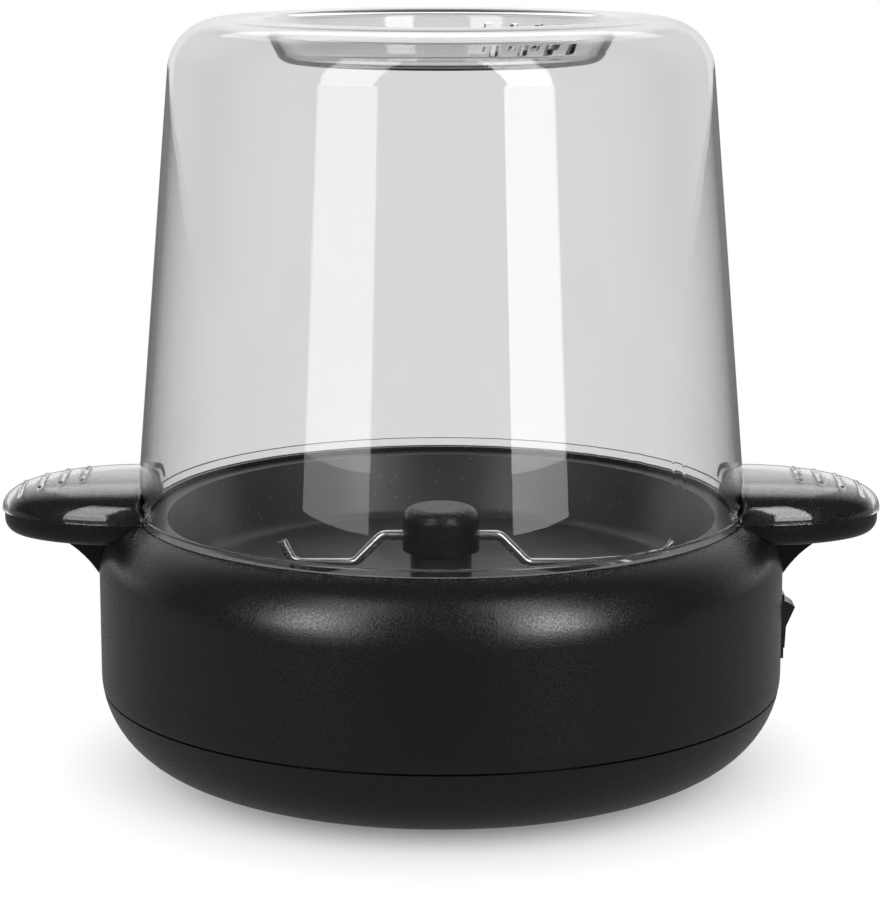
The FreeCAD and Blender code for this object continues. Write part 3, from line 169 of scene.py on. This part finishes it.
@dataclass(frozen=True)
class MouldedPlastic:
    """Black moulding whose tool was spark eroded, so that it has a fine even grain."""

    name: str
    dark: Colour
    light: Colour
    roughness: float
    grain: float
    depth: float
    specular: float = 0.5
    pits: float = 0.36
    peaks: float = 0.64
    gloss_swing: float = 0.5

    def material(self) -> bpy.types.Material:
        """Return the material: speckled colour, glossier peaks than pits, and a fine grain."""
        shader = Shader(self.name)
        fine = shader.noise(self.grain, 3.0)
        dull, glossy = self.roughness * (1 + self.gloss_swing), self.roughness * (1 - self.gloss_swing)
        shader.feed(
            Base_Color=shader.tint(shader.spread(fine, 0.0, 1.0), self.dark, self.light),
            Roughness=shader.spread(fine, dull, glossy, self.pits, self.peaks),
            Normal=shader.bump(shader.spread(fine, 0.0, 1.0, self.pits, self.peaks), self.depth),
            Specular_IOR_Level=self.specular,
        )
        return shader.material


@dataclass(frozen=True)
class ClearPlastic:
    """Clear moulding with a faint grey body, slight flow marks and very fine scuffs."""

    name: str
    body: Colour
    density: float
    ior: float
    haze: float
    flow_depth: float
    flow_scale: float = 9.0
    flow_stretch: Point = (1.0, 1.0, 0.35)
    scuff_scale: float = 420.0
    scuff_stretch: Point = (1.0, 1.0, 0.08)
    scuff_ends: tuple[float, float] = (0.58, 0.8)
    passing: Colour = (0.93, 0.93, 0.93)
    murk: Colour = (0.5, 0.502, 0.506)

    def material(self) -> bpy.types.Material:
        """Return the material; lamp light passes it as it passes a thin clear wall."""
        shader = Shader(self.name)
        flow = shader.noise(self.flow_scale, 1.0, shader.stretched(self.flow_stretch))
        scuff = shader.noise(self.scuff_scale, 4.0, shader.stretched(self.scuff_stretch))
        shader.feed(
            Base_Color=(*self.body, 1.0),
            Transmission_Weight=1.0,
            IOR=self.ior,
            Roughness=shader.spread(scuff, 0.0, self.haze, *self.scuff_ends),
            Normal=shader.bump(flow, self.flow_depth),
        )
        path = shader.node("ShaderNodeLightPath", {})
        clear = shader.node("ShaderNodeBsdfTransparent", {"Color": (*self.passing, 1.0)})
        lets_by = shader.math("MAXIMUM", path.outputs["Is Shadow Ray"], path.outputs["Is Diffuse Ray"])
        murk = {"Color": (*self.murk, 1.0), "Density": self.density}
        shader.end(shader.mixed(lets_by, shader.surface, clear))
        shader.end(shader.node("ShaderNodeVolumeAbsorption", murk), "Volume")
        return shader.material


@dataclass(frozen=True)
class NonStickCoat:
    """Baked dark coating with pale flecks over a faint orange peel."""

    name: str
    dark: Colour
    fleck: Colour
    roughness: float
    fleck_scale: float = 420.0
    fleck_ends: tuple[float, float] = (0.12, 0.24)
    chosen_scale: float = 160.0
    chosen_ends: tuple[float, float] = (0.52, 0.6)
    peel_scale: float = 520.0
    peel_depth: float = 0.03 * MM
    gloss_scale: float = 35.0

    def material(self) -> bpy.types.Material:
        """Return the material of the coated plate."""
        shader = Shader(self.name)
        cells = shader.node("ShaderNodeTexVoronoi", {"Vector": shader.place, "Scale": self.fleck_scale})
        dots = shader.spread(cells.outputs["Distance"], 1.0, 0.0, *self.fleck_ends)
        chosen = shader.spread(shader.noise(self.chosen_scale, 1.0), 0.0, 1.0, *self.chosen_ends)
        peel = shader.noise(self.peel_scale, 2.0)
        gloss = shader.noise(self.gloss_scale, 3.0)
        shader.feed(
            Base_Color=shader.tint(shader.math("MULTIPLY", dots, chosen), self.dark, self.fleck),
            Roughness=shader.spread(gloss, self.roughness - 0.05, self.roughness + 0.07),
            Normal=shader.bump(peel, self.peel_depth),
            Specular_IOR_Level=0.5,
        )
        return shader.material


@dataclass(frozen=True)
class Metal:
    """Bare metal with fine lines from how it was made."""

    name: str
    dark: Colour
    light: Colour
    roughness: float
    grain: Grain
    line_scale: float = 1500.0
    line_depth: float = 0.004 * MM
    patch_scale: float = 90.0

    def material(self) -> bpy.types.Material:
        """Return the material: lines in the gloss and relief, patches in the colour."""
        shader = Shader(self.name)
        lines = shader.noise(self.line_scale, 2.0, shader.stretched(self.grain.value))
        patches = shader.noise(self.patch_scale, 3.0)
        shader.feed(
            Base_Color=shader.tint(shader.spread(patches, 0.0, 1.0), self.dark, self.light),
            Metallic=1.0,
            Roughness=shader.spread(lines, self.roughness - 0.06, self.roughness + 0.1),
            Normal=shader.bump(lines, self.line_depth),
        )
        return shader.material


@dataclass(frozen=True)
class Matte:
    """Rubber, seal or ceramic: a dull body with fine specks and a dry surface."""

    name: str
    dark: Colour
    light: Colour
    roughness: float
    speck: float
    speck_depth: float = 0.03 * MM
    gloss_scale: float = 70.0
    gloss_swing: float = 0.06

    def material(self) -> bpy.types.Material:
        """Return the material of a dull piece."""
        shader = Shader(self.name)
        fine = shader.noise(self.speck, 4.0)
        gloss = shader.noise(self.gloss_scale, 2.0)
        low, high = self.roughness - self.gloss_swing, self.roughness + self.gloss_swing
        shader.feed(
            Base_Color=shader.tint(shader.spread(fine, 0.0, 1.0), self.dark, self.light),
            Roughness=shader.spread(gloss, low, high),
            Normal=shader.bump(fine, self.speck_depth),
        )
        return shader.material


HOUSING_BLACK = MouldedPlastic(
    "housing_black_grain", (0.003, 0.003, 0.0031), (0.006, 0.006, 0.0062), 0.24, 1500.0, 0.025 * MM, 0.4
)
HANDLE_BLACK = MouldedPlastic(
    "handle_black_satin", (0.003, 0.003, 0.0031), (0.0055, 0.0055, 0.0057), 0.25, 2000.0, 0.006 * MM, 0.34
)
SWITCH_BLACK = MouldedPlastic(
    "switch_black_gloss", (0.008, 0.008, 0.0082), (0.011, 0.011, 0.0115), 0.27, 2600.0, 0.008 * MM
)
HUB_BLACK = MouldedPlastic(
    "hub_black_heatproof", (0.006, 0.006, 0.0062), (0.011, 0.011, 0.0114), 0.36, 1900.0, 0.006 * MM, 0.4
)
LID_CLEAR = ClearPlastic("lid_clear_plastic", (0.97, 0.972, 0.975), 70.0, 1.53, 0.03, 0.12 * MM)
PLATE_COATED = NonStickCoat("plate_nonstick", (0.028, 0.028, 0.029), (0.11, 0.11, 0.108), 0.34)
STIR_STEEL = Metal("stir_wire_steel", (0.58, 0.58, 0.57), (0.70, 0.70, 0.69), 0.2, Grain.DRAWN)
SHEET_STEEL = Metal("sheet_steel", (0.50, 0.50, 0.50), (0.60, 0.60, 0.59), 0.36, Grain.ROLLED)
SCREW_STEEL = Metal("screw_steel", (0.42, 0.42, 0.42), (0.52, 0.52, 0.51), 0.32, Grain.TURNED)
ELEMENT_STEEL = Metal("element_steel", (0.24, 0.22, 0.20), (0.36, 0.33, 0.30), 0.42, Grain.DRAWN)
BRASS = Metal("brass", (0.66, 0.47, 0.20), (0.76, 0.58, 0.29), 0.3, Grain.TURNED)
RUBBER_BLACK = Matte("rubber_black", (0.010, 0.010, 0.010), (0.020, 0.020, 0.020), 0.72, 1200.0)
SEAL_GREY = Matte("seal_grey", (0.16, 0.16, 0.165), (0.22, 0.22, 0.22), 0.6, 1500.0)
CERAMIC_WHITE = Matte("ceramic_white", (0.62, 0.60, 0.56), (0.74, 0.72, 0.68), 0.48, 900.0)

SLOT_FINISHES = {
    "housing_black": HOUSING_BLACK,
    "handle_black": HANDLE_BLACK,
    "switch_black": SWITCH_BLACK,
    "hub_black": HUB_BLACK,
    "plate_coated": PLATE_COATED,
    "stir_steel": STIR_STEEL,
    "sheet_steel": SHEET_STEEL,
    "screw_steel": SCREW_STEEL,
    "element_steel": ELEMENT_STEEL,
    "brass": BRASS,
    "rubber_black": RUBBER_BLACK,
    "seal_grey": SEAL_GREY,
    "ceramic_white": CERAMIC_WHITE,
    "lid_clear": LID_CLEAR,
}


@cache
def finish_of(slot: str) -> bpy.types.Material:
    """Return the finish of a material slot, made when it is first asked for."""
    return SLOT_FINISHES[slot].material()


def rounded_path(corners: list[Point], steps: int) -> np.ndarray:
    """Sample a path of straight runs whose corners are arcs.

    At a corner of radius r and turning angle w the arc starts r tan(w / 2) before the corner, and its
    points are the centre plus r times the turned normal.

    Args:
        corners: radius from the axis, height and rounding of each corner, in millimetres.
        steps: spans in each arc.

    Returns:
        Points of the path, one row each.
    """
    points = np.array([corner[:2] for corner in corners])
    rows = [points[:1]]
    for before, here, after, (_, _, radius) in zip(points, points[1:], points[2:], corners[1:-1]):
        if radius == 0:
            rows.append(here[None])
            continue
        into = (here - before) / np.linalg.norm(here - before)
        out = (after - here) / np.linalg.norm(after - here)
        turn = np.arccos(np.clip(into @ out, -1, 1))
        side = np.sign(into[0] * out[1] - into[1] * out[0])
        normal = side * np.array([-into[1], into[0]])
        centre = here - into * radius * np.tan(turn / 2) + normal * radius
        angle = np.linspace(0, turn, steps + 1)[:, None]
        rows.append(centre - radius * np.cos(angle) * normal + radius * np.sin(angle) * into)
    rows.append(points[-1:])
    return np.concatenate(rows)


def with_heights(path: np.ndarray, span: int, heights: list[float]) -> np.ndarray:
    """Return the path with points added on one straight span where it passes the heights."""
    start, end = path[span], path[span + 1]
    share = (np.array(heights) - start[1]) / (end[1] - start[1])
    return np.insert(path, span + 1, start + share[:, None] * (end - start), axis=0)


def grid_quads(rows: int, columns: int, closed: bool) -> np.ndarray:
    """Return the quads of a grid of points, row by row.

    Args:
        rows: points along the first parameter.
        columns: points along the second parameter.
        closed: whether the last column joins the first.

    Returns:
        Array of rows - 1 by spans by 4 point indices.
    """
    index = np.arange(rows * columns).reshape(rows, columns)
    ahead = np.roll(index, -1, axis=1)
    quads = np.stack([index[:-1], ahead[:-1], ahead[1:], index[1:]], axis=-1)
    return quads if closed else quads[:, :-1]


def strip_quads(near: np.ndarray, far: np.ndarray) -> np.ndarray:
    """Return the quads between two lines of point indices."""
    return np.stack([near[:-1], near[1:], far[1:], far[:-1]], axis=-1)


def new_piece(name: str, points: np.ndarray, quads: np.ndarray) -> bpy.types.Object:
    """Make a mesh object with its seams merged, its faces outwards and its sharper edges crisp.

    Args:
        name: name of the piece.
        points: one point per row, in millimetres.
        quads: point indices of each quad.

    Returns:
        The object, at the origin.
    """
    mesh = bpy.data.meshes.new(name)
    mesh.from_pydata((points * MM).tolist(), [], quads.reshape(-1, 4).tolist())
    work = bmesh.new()
    work.from_mesh(mesh)
    bmesh.ops.remove_doubles(work, verts=work.verts, dist=MERGE_WITHIN)
    bmesh.ops.recalc_face_normals(work, faces=work.faces)
    work.to_mesh(mesh)
    work.free()
    mesh.shade_smooth()
    mesh.set_sharp_from_angle(angle=radians(SHARP_DEG))
    piece = bpy.data.objects.new(name, mesh)
    bpy.context.scene.collection.objects.link(piece)
    return piece


def between(outer: np.ndarray, inner: np.ndarray, side: int) -> Surface:
    """Close the space between two faces laid out alike.

    Args:
        outer: points of the outer face as rows, columns and coordinates.
        inner: points of the inner face, laid out in the same way.
        side: 1 as laid out, or -1 turned half round the upright axis.

    Returns:
        The points and the quads.
    """
    rows, columns = outer.shape[:2]
    back = rows * columns
    points = np.concatenate([outer.reshape(-1, 3), inner.reshape(-1, 3)]) * np.array([side, side, 1])
    skin = grid_quads(rows, columns, False).reshape(-1, 4)
    root = np.arange(columns)
    lip = root + (rows - 1) * columns
    return points, np.concatenate([
        skin, skin[:, ::-1] + back, strip_quads(root, root + back), strip_quads(lip, lip + back)
    ])


@dataclass
class HandleCrown:
    """Blunt crown of a handle, which the lid's clear shell and the black top inside it share."""

    centre: float = 115.0
    half: Point = (55.0, 33.4, 15.0)
    power: float = 2.5
    foot: float = 100.5
    rows: int = 71
    columns: int = 181
    widest: float = np.pi * 0.6
    halvings: int = 40
    slack: float = 0.03

    def face(self, inset: float, root: Callable[[np.ndarray], np.ndarray]) -> np.ndarray:
        """Lay out one face of the crown.

        The face is part of a blunt ellipsoid with semi-axes a, b and c: (x, y, z) is the centre plus
        (a s cos u, b s sin u, c t), where s and t are sin v and cos v to the power of 2 over the
        crown's power. v starts at the root, found by halving, and ends at the lip.

        Args:
            inset: how far the face lies inside the outermost one.
            root: gives the radius from the upright axis at which the face starts, at each height.

        Returns:
            Points as an array of rows, columns and coordinates.
        """
        a, b, c = (half - inset for half in self.half)

        def place(u: np.ndarray, v: np.ndarray) -> tuple[np.ndarray, np.ndarray, np.ndarray]:
            """Return x, y and z of the face's points."""
            out = np.sin(v) ** (2 / self.power)
            up = np.clip(np.cos(v), 0, 1) ** (2 / self.power)
            return self.centre + a * out * np.cos(u), b * out * np.sin(u), self.foot + c * up

        def clear(u: np.ndarray, v: np.ndarray) -> np.ndarray:
            """Return whether the points stand out past the root."""
            x, y, z = place(u, v)
            return np.hypot(x, y) - root(z) > self.slack

        low, high = np.array([np.pi / 2]), np.array([self.widest])
        for _ in range(self.halvings):
            half = (low + high) / 2
            out = clear(half, np.full_like(half, np.pi / 2))
            low, high = np.where(out, half, low), np.where(out, high, half)
        u = np.linspace(-low[0], low[0], self.columns)
        low, high = np.zeros_like(u), np.full_like(u, np.pi / 2)
        for _ in range(self.halvings):
            half = (low + high) / 2
            out = clear(u, half)
            low, high = np.where(out, low, half), np.where(out, half, high)
        v = high + np.linspace(0, 1, self.rows)[:, None] * (np.pi / 2 - high)
        return np.stack(place(u, v), axis=-1)


@dataclass
class HandleTops:
    """Black tops of the handles, which fill the lid's clear shells but for a working gap."""

    crown: HandleCrown = field(default_factory=HandleCrown)
    inset: float = 2.7
    root_radius: float = 118.9
    sink: float = 0.3

    def root(self, height: np.ndarray) -> np.ndarray:
        """Return the radius that clears the lid's rim when it lifts, at any height."""
        return np.full_like(height, self.root_radius)

    def build(self) -> list[bpy.types.Object]:
        """Return both tops: the crown's face, closed by a flat underside just inside the handle."""
        face = self.crown.face(self.inset, self.root)
        under = face.copy()
        under[..., 2] = self.crown.foot - self.sink
        tops = []
        for name, side in (("right_handle_top", 1), ("left_handle_top", -1)):
            piece = new_piece(name, *between(face, under, side))
            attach(piece, "base")
            tops.append(piece)
        return tops

    def dress(self, tops: list[bpy.types.Object]) -> None:
        """Give the tops the handles' black."""
        for piece in tops:
            piece.data.materials.append(finish_of("handle_black"))
            log.info("finish on %s", piece.name)


@dataclass
class ClearLid:
    """Clear lid: tapered bowl with a vented well in its top, and two crowned handle shells."""

    foot: float = 100.5
    top: float = 289.0
    flange_radius: float = 118.3
    flange_height: float = 3.5
    flange_round: float = 0.8
    foot_radius: float = 117.3
    top_radius: float = 101.4
    wall: float = 2.2
    inner_step: float = 0.05
    inner_rise: float = 1.0
    corner: float = 20.0
    well_radius: float = 63.5
    well_taper: float = 5.5
    well_depth: float = 13.5
    well_rim: float = 4.5
    well_corner: float = 4.0
    vent_width: float = 2.6
    vent_low: float = 279.1
    vent_high: float = 283.5
    vent_first_deg: float = 41.4
    vent_pitch_deg: float = 10.4
    vents_in_quarter: int = 4
    step_deg: float = 1.2
    vent_margin_deg: float = 0.35
    arc_steps: int = 14
    crown: HandleCrown = field(default_factory=HandleCrown)
    rib_places: tuple[float, ...] = (162.0, 153.9, 145.8, 137.7)
    rib_width: float = 1.5
    rib_length: float = 27.0
    rib_height: float = 0.5
    rib_run_out: float = 1.5
    rib_spread: float = 0.8

    def outside(self) -> np.ndarray:
        """Return the outer profile from the flange's foot to the middle of the well's floor."""
        floor = self.top - self.well_depth
        path = rounded_path([
            (self.flange_radius, self.foot, 0),
            (self.flange_radius, self.foot + self.flange_height, self.flange_round),
            (self.foot_radius, self.foot + self.flange_height, 0),
            (self.top_radius, self.top, self.corner),
            (self.well_radius, self.top, self.well_rim),
            (self.well_radius - self.well_taper, floor, self.well_corner),
            (0, floor, 0),
        ], self.arc_steps)
        return with_heights(path, self.well_span(path), [self.vent_high, self.vent_low])

    def inside(self) -> np.ndarray:
        """Return the inner profile, a wall's thickness inside the outer one, point for point."""
        floor = self.top - self.well_depth - self.wall
        under = self.top - self.wall
        inner = self.foot_radius - self.wall
        path = rounded_path([
            (inner, self.foot, 0),
            (inner - self.inner_step, self.foot + self.flange_height, self.flange_round),
            (inner - 2 * self.inner_step, self.foot + self.flange_height + self.inner_rise, 0),
            (self.top_radius - self.wall, under, self.corner - self.wall),
            (self.well_radius + self.wall, under, self.well_rim - self.wall),
            (self.well_radius - self.well_taper + self.wall, floor, self.well_corner + self.wall),
            (0, floor, 0),
        ], self.arc_steps)
        return with_heights(path, self.well_span(path), [self.vent_high, self.vent_low])

    def well_span(self, path: np.ndarray) -> int:
        """Return the index of the straight span down the well's wall."""
        return len(path) - self.arc_steps - 3

    def vent_angles(self) -> np.ndarray:
        """Return the angles of the vents in degrees, alike in both quarters on the right."""
        first = self.vent_first_deg + self.vent_pitch_deg * np.arange(self.vents_in_quarter)
        return np.sort(np.concatenate([first, 360 - first]))

    def bowl(self) -> Surface:
        """Turn both profiles about the axis, leave out the vents' quads and wall the vents.

        A point is (r cos a, r sin a, z) for a profile point (r, z) and an angle a. The angles are even
        but for the vents' two edges each.

        Returns:
            The points and the quads.
        """
        half = np.degrees(self.vent_width / 2 / (self.well_radius - self.well_taper / 2))
        vents = self.vent_angles()
        edges = np.concatenate([vents - half, vents + half])
        even = np.arange(0, 360, self.step_deg)
        even = even[np.abs(even[:, None] - vents[None]).min(axis=1) > half + self.vent_margin_deg]
        angles = np.sort(np.concatenate([edges, even]))
        middles = (angles + np.roll(angles, -1)) / 2
        in_vent = np.abs(middles[:, None] - vents[None]).min(axis=1) < half
        outer, inner = self.outside(), self.inside()
        rows, columns = len(outer), len(angles)
        turn = np.radians(angles)

        def turned(path: np.ndarray) -> np.ndarray:
            """Return the profile carried round the axis, row by row."""
            ring = np.stack([np.cos(turn), np.sin(turn)], axis=-1)
            flat = path[:, :1, None] * ring[None]
            heights = np.repeat(path[:, 1:, None], columns, axis=1)
            return np.concatenate([flat, heights], axis=-1).reshape(-1, 3)

        points = np.concatenate([turned(outer), turned(inner)])
        quads = grid_quads(rows, columns, True)
        row = self.well_span(outer) - 1
        keep = np.ones(quads.shape[:2], bool)
        keep[row, in_vent] = False
        skin = quads[keep]
        back = rows * columns
        holes = quads[row, in_vent]
        edges_of = np.stack([holes, np.roll(holes, -1, axis=1)], axis=-1).reshape(-1, 2)
        walls = np.concatenate([edges_of, edges_of[:, ::-1] + back], axis=1)
        lip = np.arange(columns)
        ring = np.append(lip, lip[0])
        return points, np.concatenate([skin, skin[:, ::-1] + back, walls, strip_quads(ring, ring + back)])

    def wall_radius(self, height: np.ndarray) -> np.ndarray:
        """Return the radius of the bowl's outer face at a height."""
        lean = (self.foot_radius - self.top_radius) / (self.top - self.foot - self.flange_height)
        above = height - self.foot - self.flange_height
        return np.where(above < 0, self.flange_radius, self.foot_radius - lean * above)

    def ribs(self, face: np.ndarray) -> np.ndarray:
        """Return a handle shell's face with the grip ribs raised on it.

        The rise is the rib's height times a cosine bell across the rib, times half a bell at its ends.
        """
        x, y, z = np.moveaxis(face, -1, 0)
        off = np.abs(x[..., None] - np.array(self.rib_places))
        across = np.clip(off / (self.rib_width * self.rib_spread), 0, 1)
        along = np.clip((np.abs(y) - self.rib_length / 2 + self.rib_run_out) / self.rib_run_out, 0, 1)
        bell = (0.5 + 0.5 * np.cos(np.pi * across)).max(axis=-1)
        z = z + self.rib_height * bell * (0.5 + 0.5 * np.cos(np.pi * along))
        return np.stack([x, y, z], axis=-1)

    def shell(self, side: int) -> Surface:
        """Return the points and quads of a handle shell, on the right for side 1 and the left for -1."""
        outer = self.ribs(self.crown.face(0.0, self.wall_radius))
        return between(outer, self.crown.face(self.wall, self.wall_radius), side)

    def build(self) -> bpy.types.Object:
        """Return the lid as one piece that rides on the lid's body."""
        parts = [self.bowl(), self.shell(1), self.shell(-1)]
        starts = np.cumsum([0] + [len(points) for points, _ in parts[:-1]])
        points = np.concatenate([points for points, _ in parts])
        quads = np.concatenate([quads + start for (_, quads), start in zip(parts, starts)])
        piece = new_piece("clear_lid", points, quads)
        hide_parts("lid")
        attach(piece, "lid")
        return piece

    def dress(self, piece: bpy.types.Object) -> None:
        """Give the lid its clear plastic."""
        piece.data.materials.append(finish_of("lid_clear"))
        log.info("clear lid: %d faces", len(piece.data.polygons))


@dataclass
class Assembly:
    """Pieces whose solids already have their shape and only need their finish."""

    nodes: tuple[str, ...]

    def dress(self) -> None:
        """Give each solid the finish of its material slot."""
        for name in self.nodes:
            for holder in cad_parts[name].material_slots:
                holder.material = finish_of(holder.material.name)
            log.info("finish on %s", name)


@dataclass
class BaseShell(Assembly):
    """Both shells of the base with what closes, carries and feeds them."""

    nodes: tuple[str, ...] = (
        "base_housing", "bottom_cover", "cover_screws", "cord_gland",
        "foot_rear_right", "foot_rear_left", "foot_front_left", "foot_front_right",
    )


@dataclass
class BaseHandles(Assembly):
    """Black handles of the base and their screws."""

    nodes: tuple[str, ...] = ("left_handle", "right_handle", "handle_screws")


@dataclass
class SideSwitch(Assembly):
    """Rocker switch under the right handle."""

    nodes: tuple[str, ...] = ("switch_frame", "rocker", "switch_terminals")


@dataclass
class HotPlate(Assembly):
    """Coated plate with its heater, guards and shield."""

    nodes: tuple[str, ...] = (
        "popping_plate", "plate_seal", "heating_element", "heater_bushes", "heat_shield", "shield_screws",
        "thermostat", "thermal_fuse", "fuse_clip",
    )


@dataclass
class StirDrive(Assembly):
    """Stirrer, its shaft and the motor that turns it."""

    nodes: tuple[str, ...] = (
        "stir_hub", "stir_arm_long", "stir_arm_short", "drive_shaft", "shaft_bush",
        "motor_can", "gear_case", "motor_spacers", "motor_screws", "motor_nuts",
    )


@dataclass(frozen=True)
class SoftBox:
    """Lamp with an even face; its place and size are in metres."""

    name: str
    place: Point
    size: tuple[float, float]
    radiance: float
    onto: tuple[str, ...] = ()

    def hang(self, aim: Point) -> None:
        """Hang the lamp, so that it lights all, or only the nodes that it is screened onto.

        Its power is the radiance of its face, where 1 is white, times pi and the face's area.

        Args:
            aim: the point that it faces.
        """
        width, height = self.size
        lamp = bpy.data.lights.new(self.name, "AREA")
        lamp.shape = "RECTANGLE"
        lamp.size, lamp.size_y = width, height
        lamp.energy = self.radiance * np.pi * width * height
        stand = bpy.data.objects.new(self.name, lamp)
        stand.location = self.place
        way = Vector(aim) - Vector(self.place)
        stand.rotation_euler = way.to_track_quat("-Z", "Y").to_euler()
        bpy.context.scene.collection.objects.link(stand)
        if self.onto:
            lit = bpy.data.collections.new(self.name)
            for node in self.onto:
                lit.objects.link(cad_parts[node])
            stand.light_linking.receiver_collection = lit


SHELL = ("base_housing", "bottom_cover")
SOFT_BOXES = (
    SoftBox("soft_box_left", (-0.86, -1.12, 0.26), (0.62, 0.44), 2.4),
    SoftBox("soft_box_right", (0.82, -1.16, 0.26), (0.52, 0.44), 3.4),
    SoftBox("bright_box_left", (-0.86, -1.10, 0.88), (0.62, 0.86), 3.0),
    SoftBox("bright_box_right", (0.82, -1.14, 0.88), (0.52, 0.86), 4.2),
    SoftBox("upper_box_left", (-0.72, -0.90, 1.52), (0.62, 0.50), 3.0),
    SoftBox("upper_box_right", (0.68, -0.94, 1.52), (0.54, 0.50), 4.2),
    SoftBox("shell_box_left", (-0.98, -1.02, 0.64), (0.50, 0.72), 6.0, SHELL),
    SoftBox("shell_box_right", (0.86, -1.12, 0.64), (0.46, 0.72), 7.6, SHELL),
    SoftBox("overhead", (0.0, 1.0, 1.4), (1.6, 0.9), 0.8),
)


@dataclass
class Studio:
    """White paper floor, soft boxes either side and overhead, a white surround and the camera."""

    camera_place: Point = (-0.000416, -1.1284, 0.3485)
    camera_pitch_deg: float = 11.29
    focal_px: float = 2974.6
    long_side_px: float = 900.0
    sensor_mm: float = 36.0
    sees_to: float = 50.0
    aim: Point = (0.0, 0.0, 0.15)
    floor_half: float = 6.0
    sky_on_matte: float = 0.45
    # dark_front: strength of the dim sky in front for reflections, and of the painted shade that mirror
    # rays see on the floor.
    dark_front: float = 0.08
    dusk: tuple[float, float] = (0.15, 0.8)
    paper: Colour = (0.88, 0.88, 0.88)
    shadow_ends: tuple[float, float] = (0.085, 0.15)
    shadow_glow: float = 0.1
    front_ends: tuple[float, float] = (-0.1, -0.35)
    dim_behind: float = 0.8

    def camera(self) -> None:
        """Stand the camera where the photograph was taken."""
        lens = bpy.data.cameras.new("camera")
        lens.sensor_width = self.sensor_mm
        lens.lens = self.focal_px * self.sensor_mm / self.long_side_px
        lens.clip_end = self.sees_to
        stand = bpy.data.objects.new("camera", lens)
        stand.location = self.camera_place
        stand.rotation_euler = (radians(90 - self.camera_pitch_deg), 0, 0)
        bpy.context.scene.collection.objects.link(stand)
        bpy.context.scene.camera = stand

    def lights(self) -> None:
        """Hang the soft boxes either side of the camera and the one overhead."""
        for box in SOFT_BOXES:
            box.hang(self.aim)

    def world(self) -> None:
        """White all round for what is seen, dim in front for reflections, softer for dull surfaces."""
        world = bpy.data.worlds.new("studio")
        bpy.context.scene.world = world
        world.use_nodes = True
        tree = world.node_tree
        sky = tree.nodes["Background"]
        path = tree.nodes.new("ShaderNodeLightPath")
        place = tree.nodes.new("ShaderNodeTexCoord")
        split = tree.nodes.new("ShaderNodeSeparateXYZ")
        depth = tree.nodes.new("ShaderNodeMapRange")
        depth.interpolation_type = "SMOOTHSTEP"
        depth.inputs["From Min"].default_value, depth.inputs["From Max"].default_value = self.dusk
        depth.inputs["To Min"].default_value = self.dark_front
        tree.links.new(place.outputs["Generated"], split.inputs[0])
        tree.links.new(split.outputs["Y"], depth.inputs["Value"])
        seen = tree.nodes.new("ShaderNodeMath")
        seen.operation = "MAXIMUM"
        tree.links.new(path.outputs["Is Camera Ray"], seen.inputs[0])
        tree.links.new(path.outputs["Is Transmission Ray"], seen.inputs[1])
        shown = tree.nodes.new("ShaderNodeMix")
        shown.inputs["A"].default_value = self.sky_on_matte
        shown.inputs["B"].default_value = 1.0
        tree.links.new(seen.outputs[0], shown.inputs["Factor"])
        strength = tree.nodes.new("ShaderNodeMix")
        tree.links.new(path.outputs["Glossy Depth"], strength.inputs["Factor"])
        tree.links.new(shown.outputs["Result"], strength.inputs["A"])
        tree.links.new(depth.outputs["Result"], strength.inputs["B"])
        tree.links.new(strength.outputs["Result"], sky.inputs["Strength"])
        sky.inputs["Color"].default_value = WHITE

    def floor(self) -> None:
        """Lay the white paper: its shadow shows near the object and it is plain white further off."""
        reach = self.floor_half
        mesh = bpy.data.meshes.new("floor")
        corners = [(-reach, -reach, 0), (reach, -reach, 0), (reach, reach, 0), (-reach, reach, 0)]
        mesh.from_pydata(corners, [], [(0, 1, 2, 3)])
        paper = bpy.data.objects.new("floor", mesh)
        bpy.context.scene.collection.objects.link(paper)
        mesh.materials.append(self.paper_material())

    def paper_material(self) -> bpy.types.Material:
        """Return matt paper that glows white past the shadow, with painted shade where a gloss mirrors
        it: there it is a flat dim emission.
        """
        shader = Shader("white_paper")
        shader.feed(Base_Color=(*self.paper, 1.0), Roughness=0.9, Specular_IOR_Level=0.1)
        path = shader.node("ShaderNodeLightPath", {}).outputs
        far = shader.node("ShaderNodeVectorMath", {0: shader.place}, operation="LENGTH").outputs["Value"]
        share = shader.spread(far, self.shadow_glow, 1.0, *self.shadow_ends)
        share = shader.math("MULTIPLY", share, shader.math("SUBTRACT", 1.0, path["Is Diffuse Ray"]))
        glow = shader.node("ShaderNodeEmission", {"Color": WHITE, "Strength": 1.0})
        lit = shader.mixed(share, shader.surface, glow)
        # Painted shade: mirror rays see the floor as a flat dim emission instead of the lit paper, fully
        # in front and a little less behind, so glosses mirror a dark floor.
        split = shader.node("ShaderNodeSeparateXYZ", {0: shader.place})
        front = shader.spread(split.outputs["Y"], self.dim_behind, 1.0, *self.front_ends)
        mirrored = shader.spread(path["Glossy Depth"], 0.0, 1.0, 0.0, 1.0)
        shade = shader.node("ShaderNodeEmission", {"Color": WHITE, "Strength": self.dark_front})
        shader.end(shader.mixed(shader.math("MULTIPLY", front, mirrored), lit, shade))
        return shader.material

    def build(self) -> None:
        """Set up the camera, lamps, world and floor."""
        self.camera()
        self.lights()
        self.world()
        self.floor()
        bpy.context.scene.view_settings.view_transform = "Standard"
        log.info("studio ready")


def main() -> None:
    """Dress the part and set up the studio."""
    logging.basicConfig(level=logging.INFO, format="%(name)s: %(message)s")
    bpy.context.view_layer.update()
    lid = ClearLid()
    lid.dress(lid.build())
    tops = HandleTops()
    tops.dress(tops.build())
    for assembly in (BaseShell(), BaseHandles(), SideSwitch(), HotPlate(), StirDrive()):
        assembly.dress()
    Studio().build()


if __name__ == "__main__":
    main()
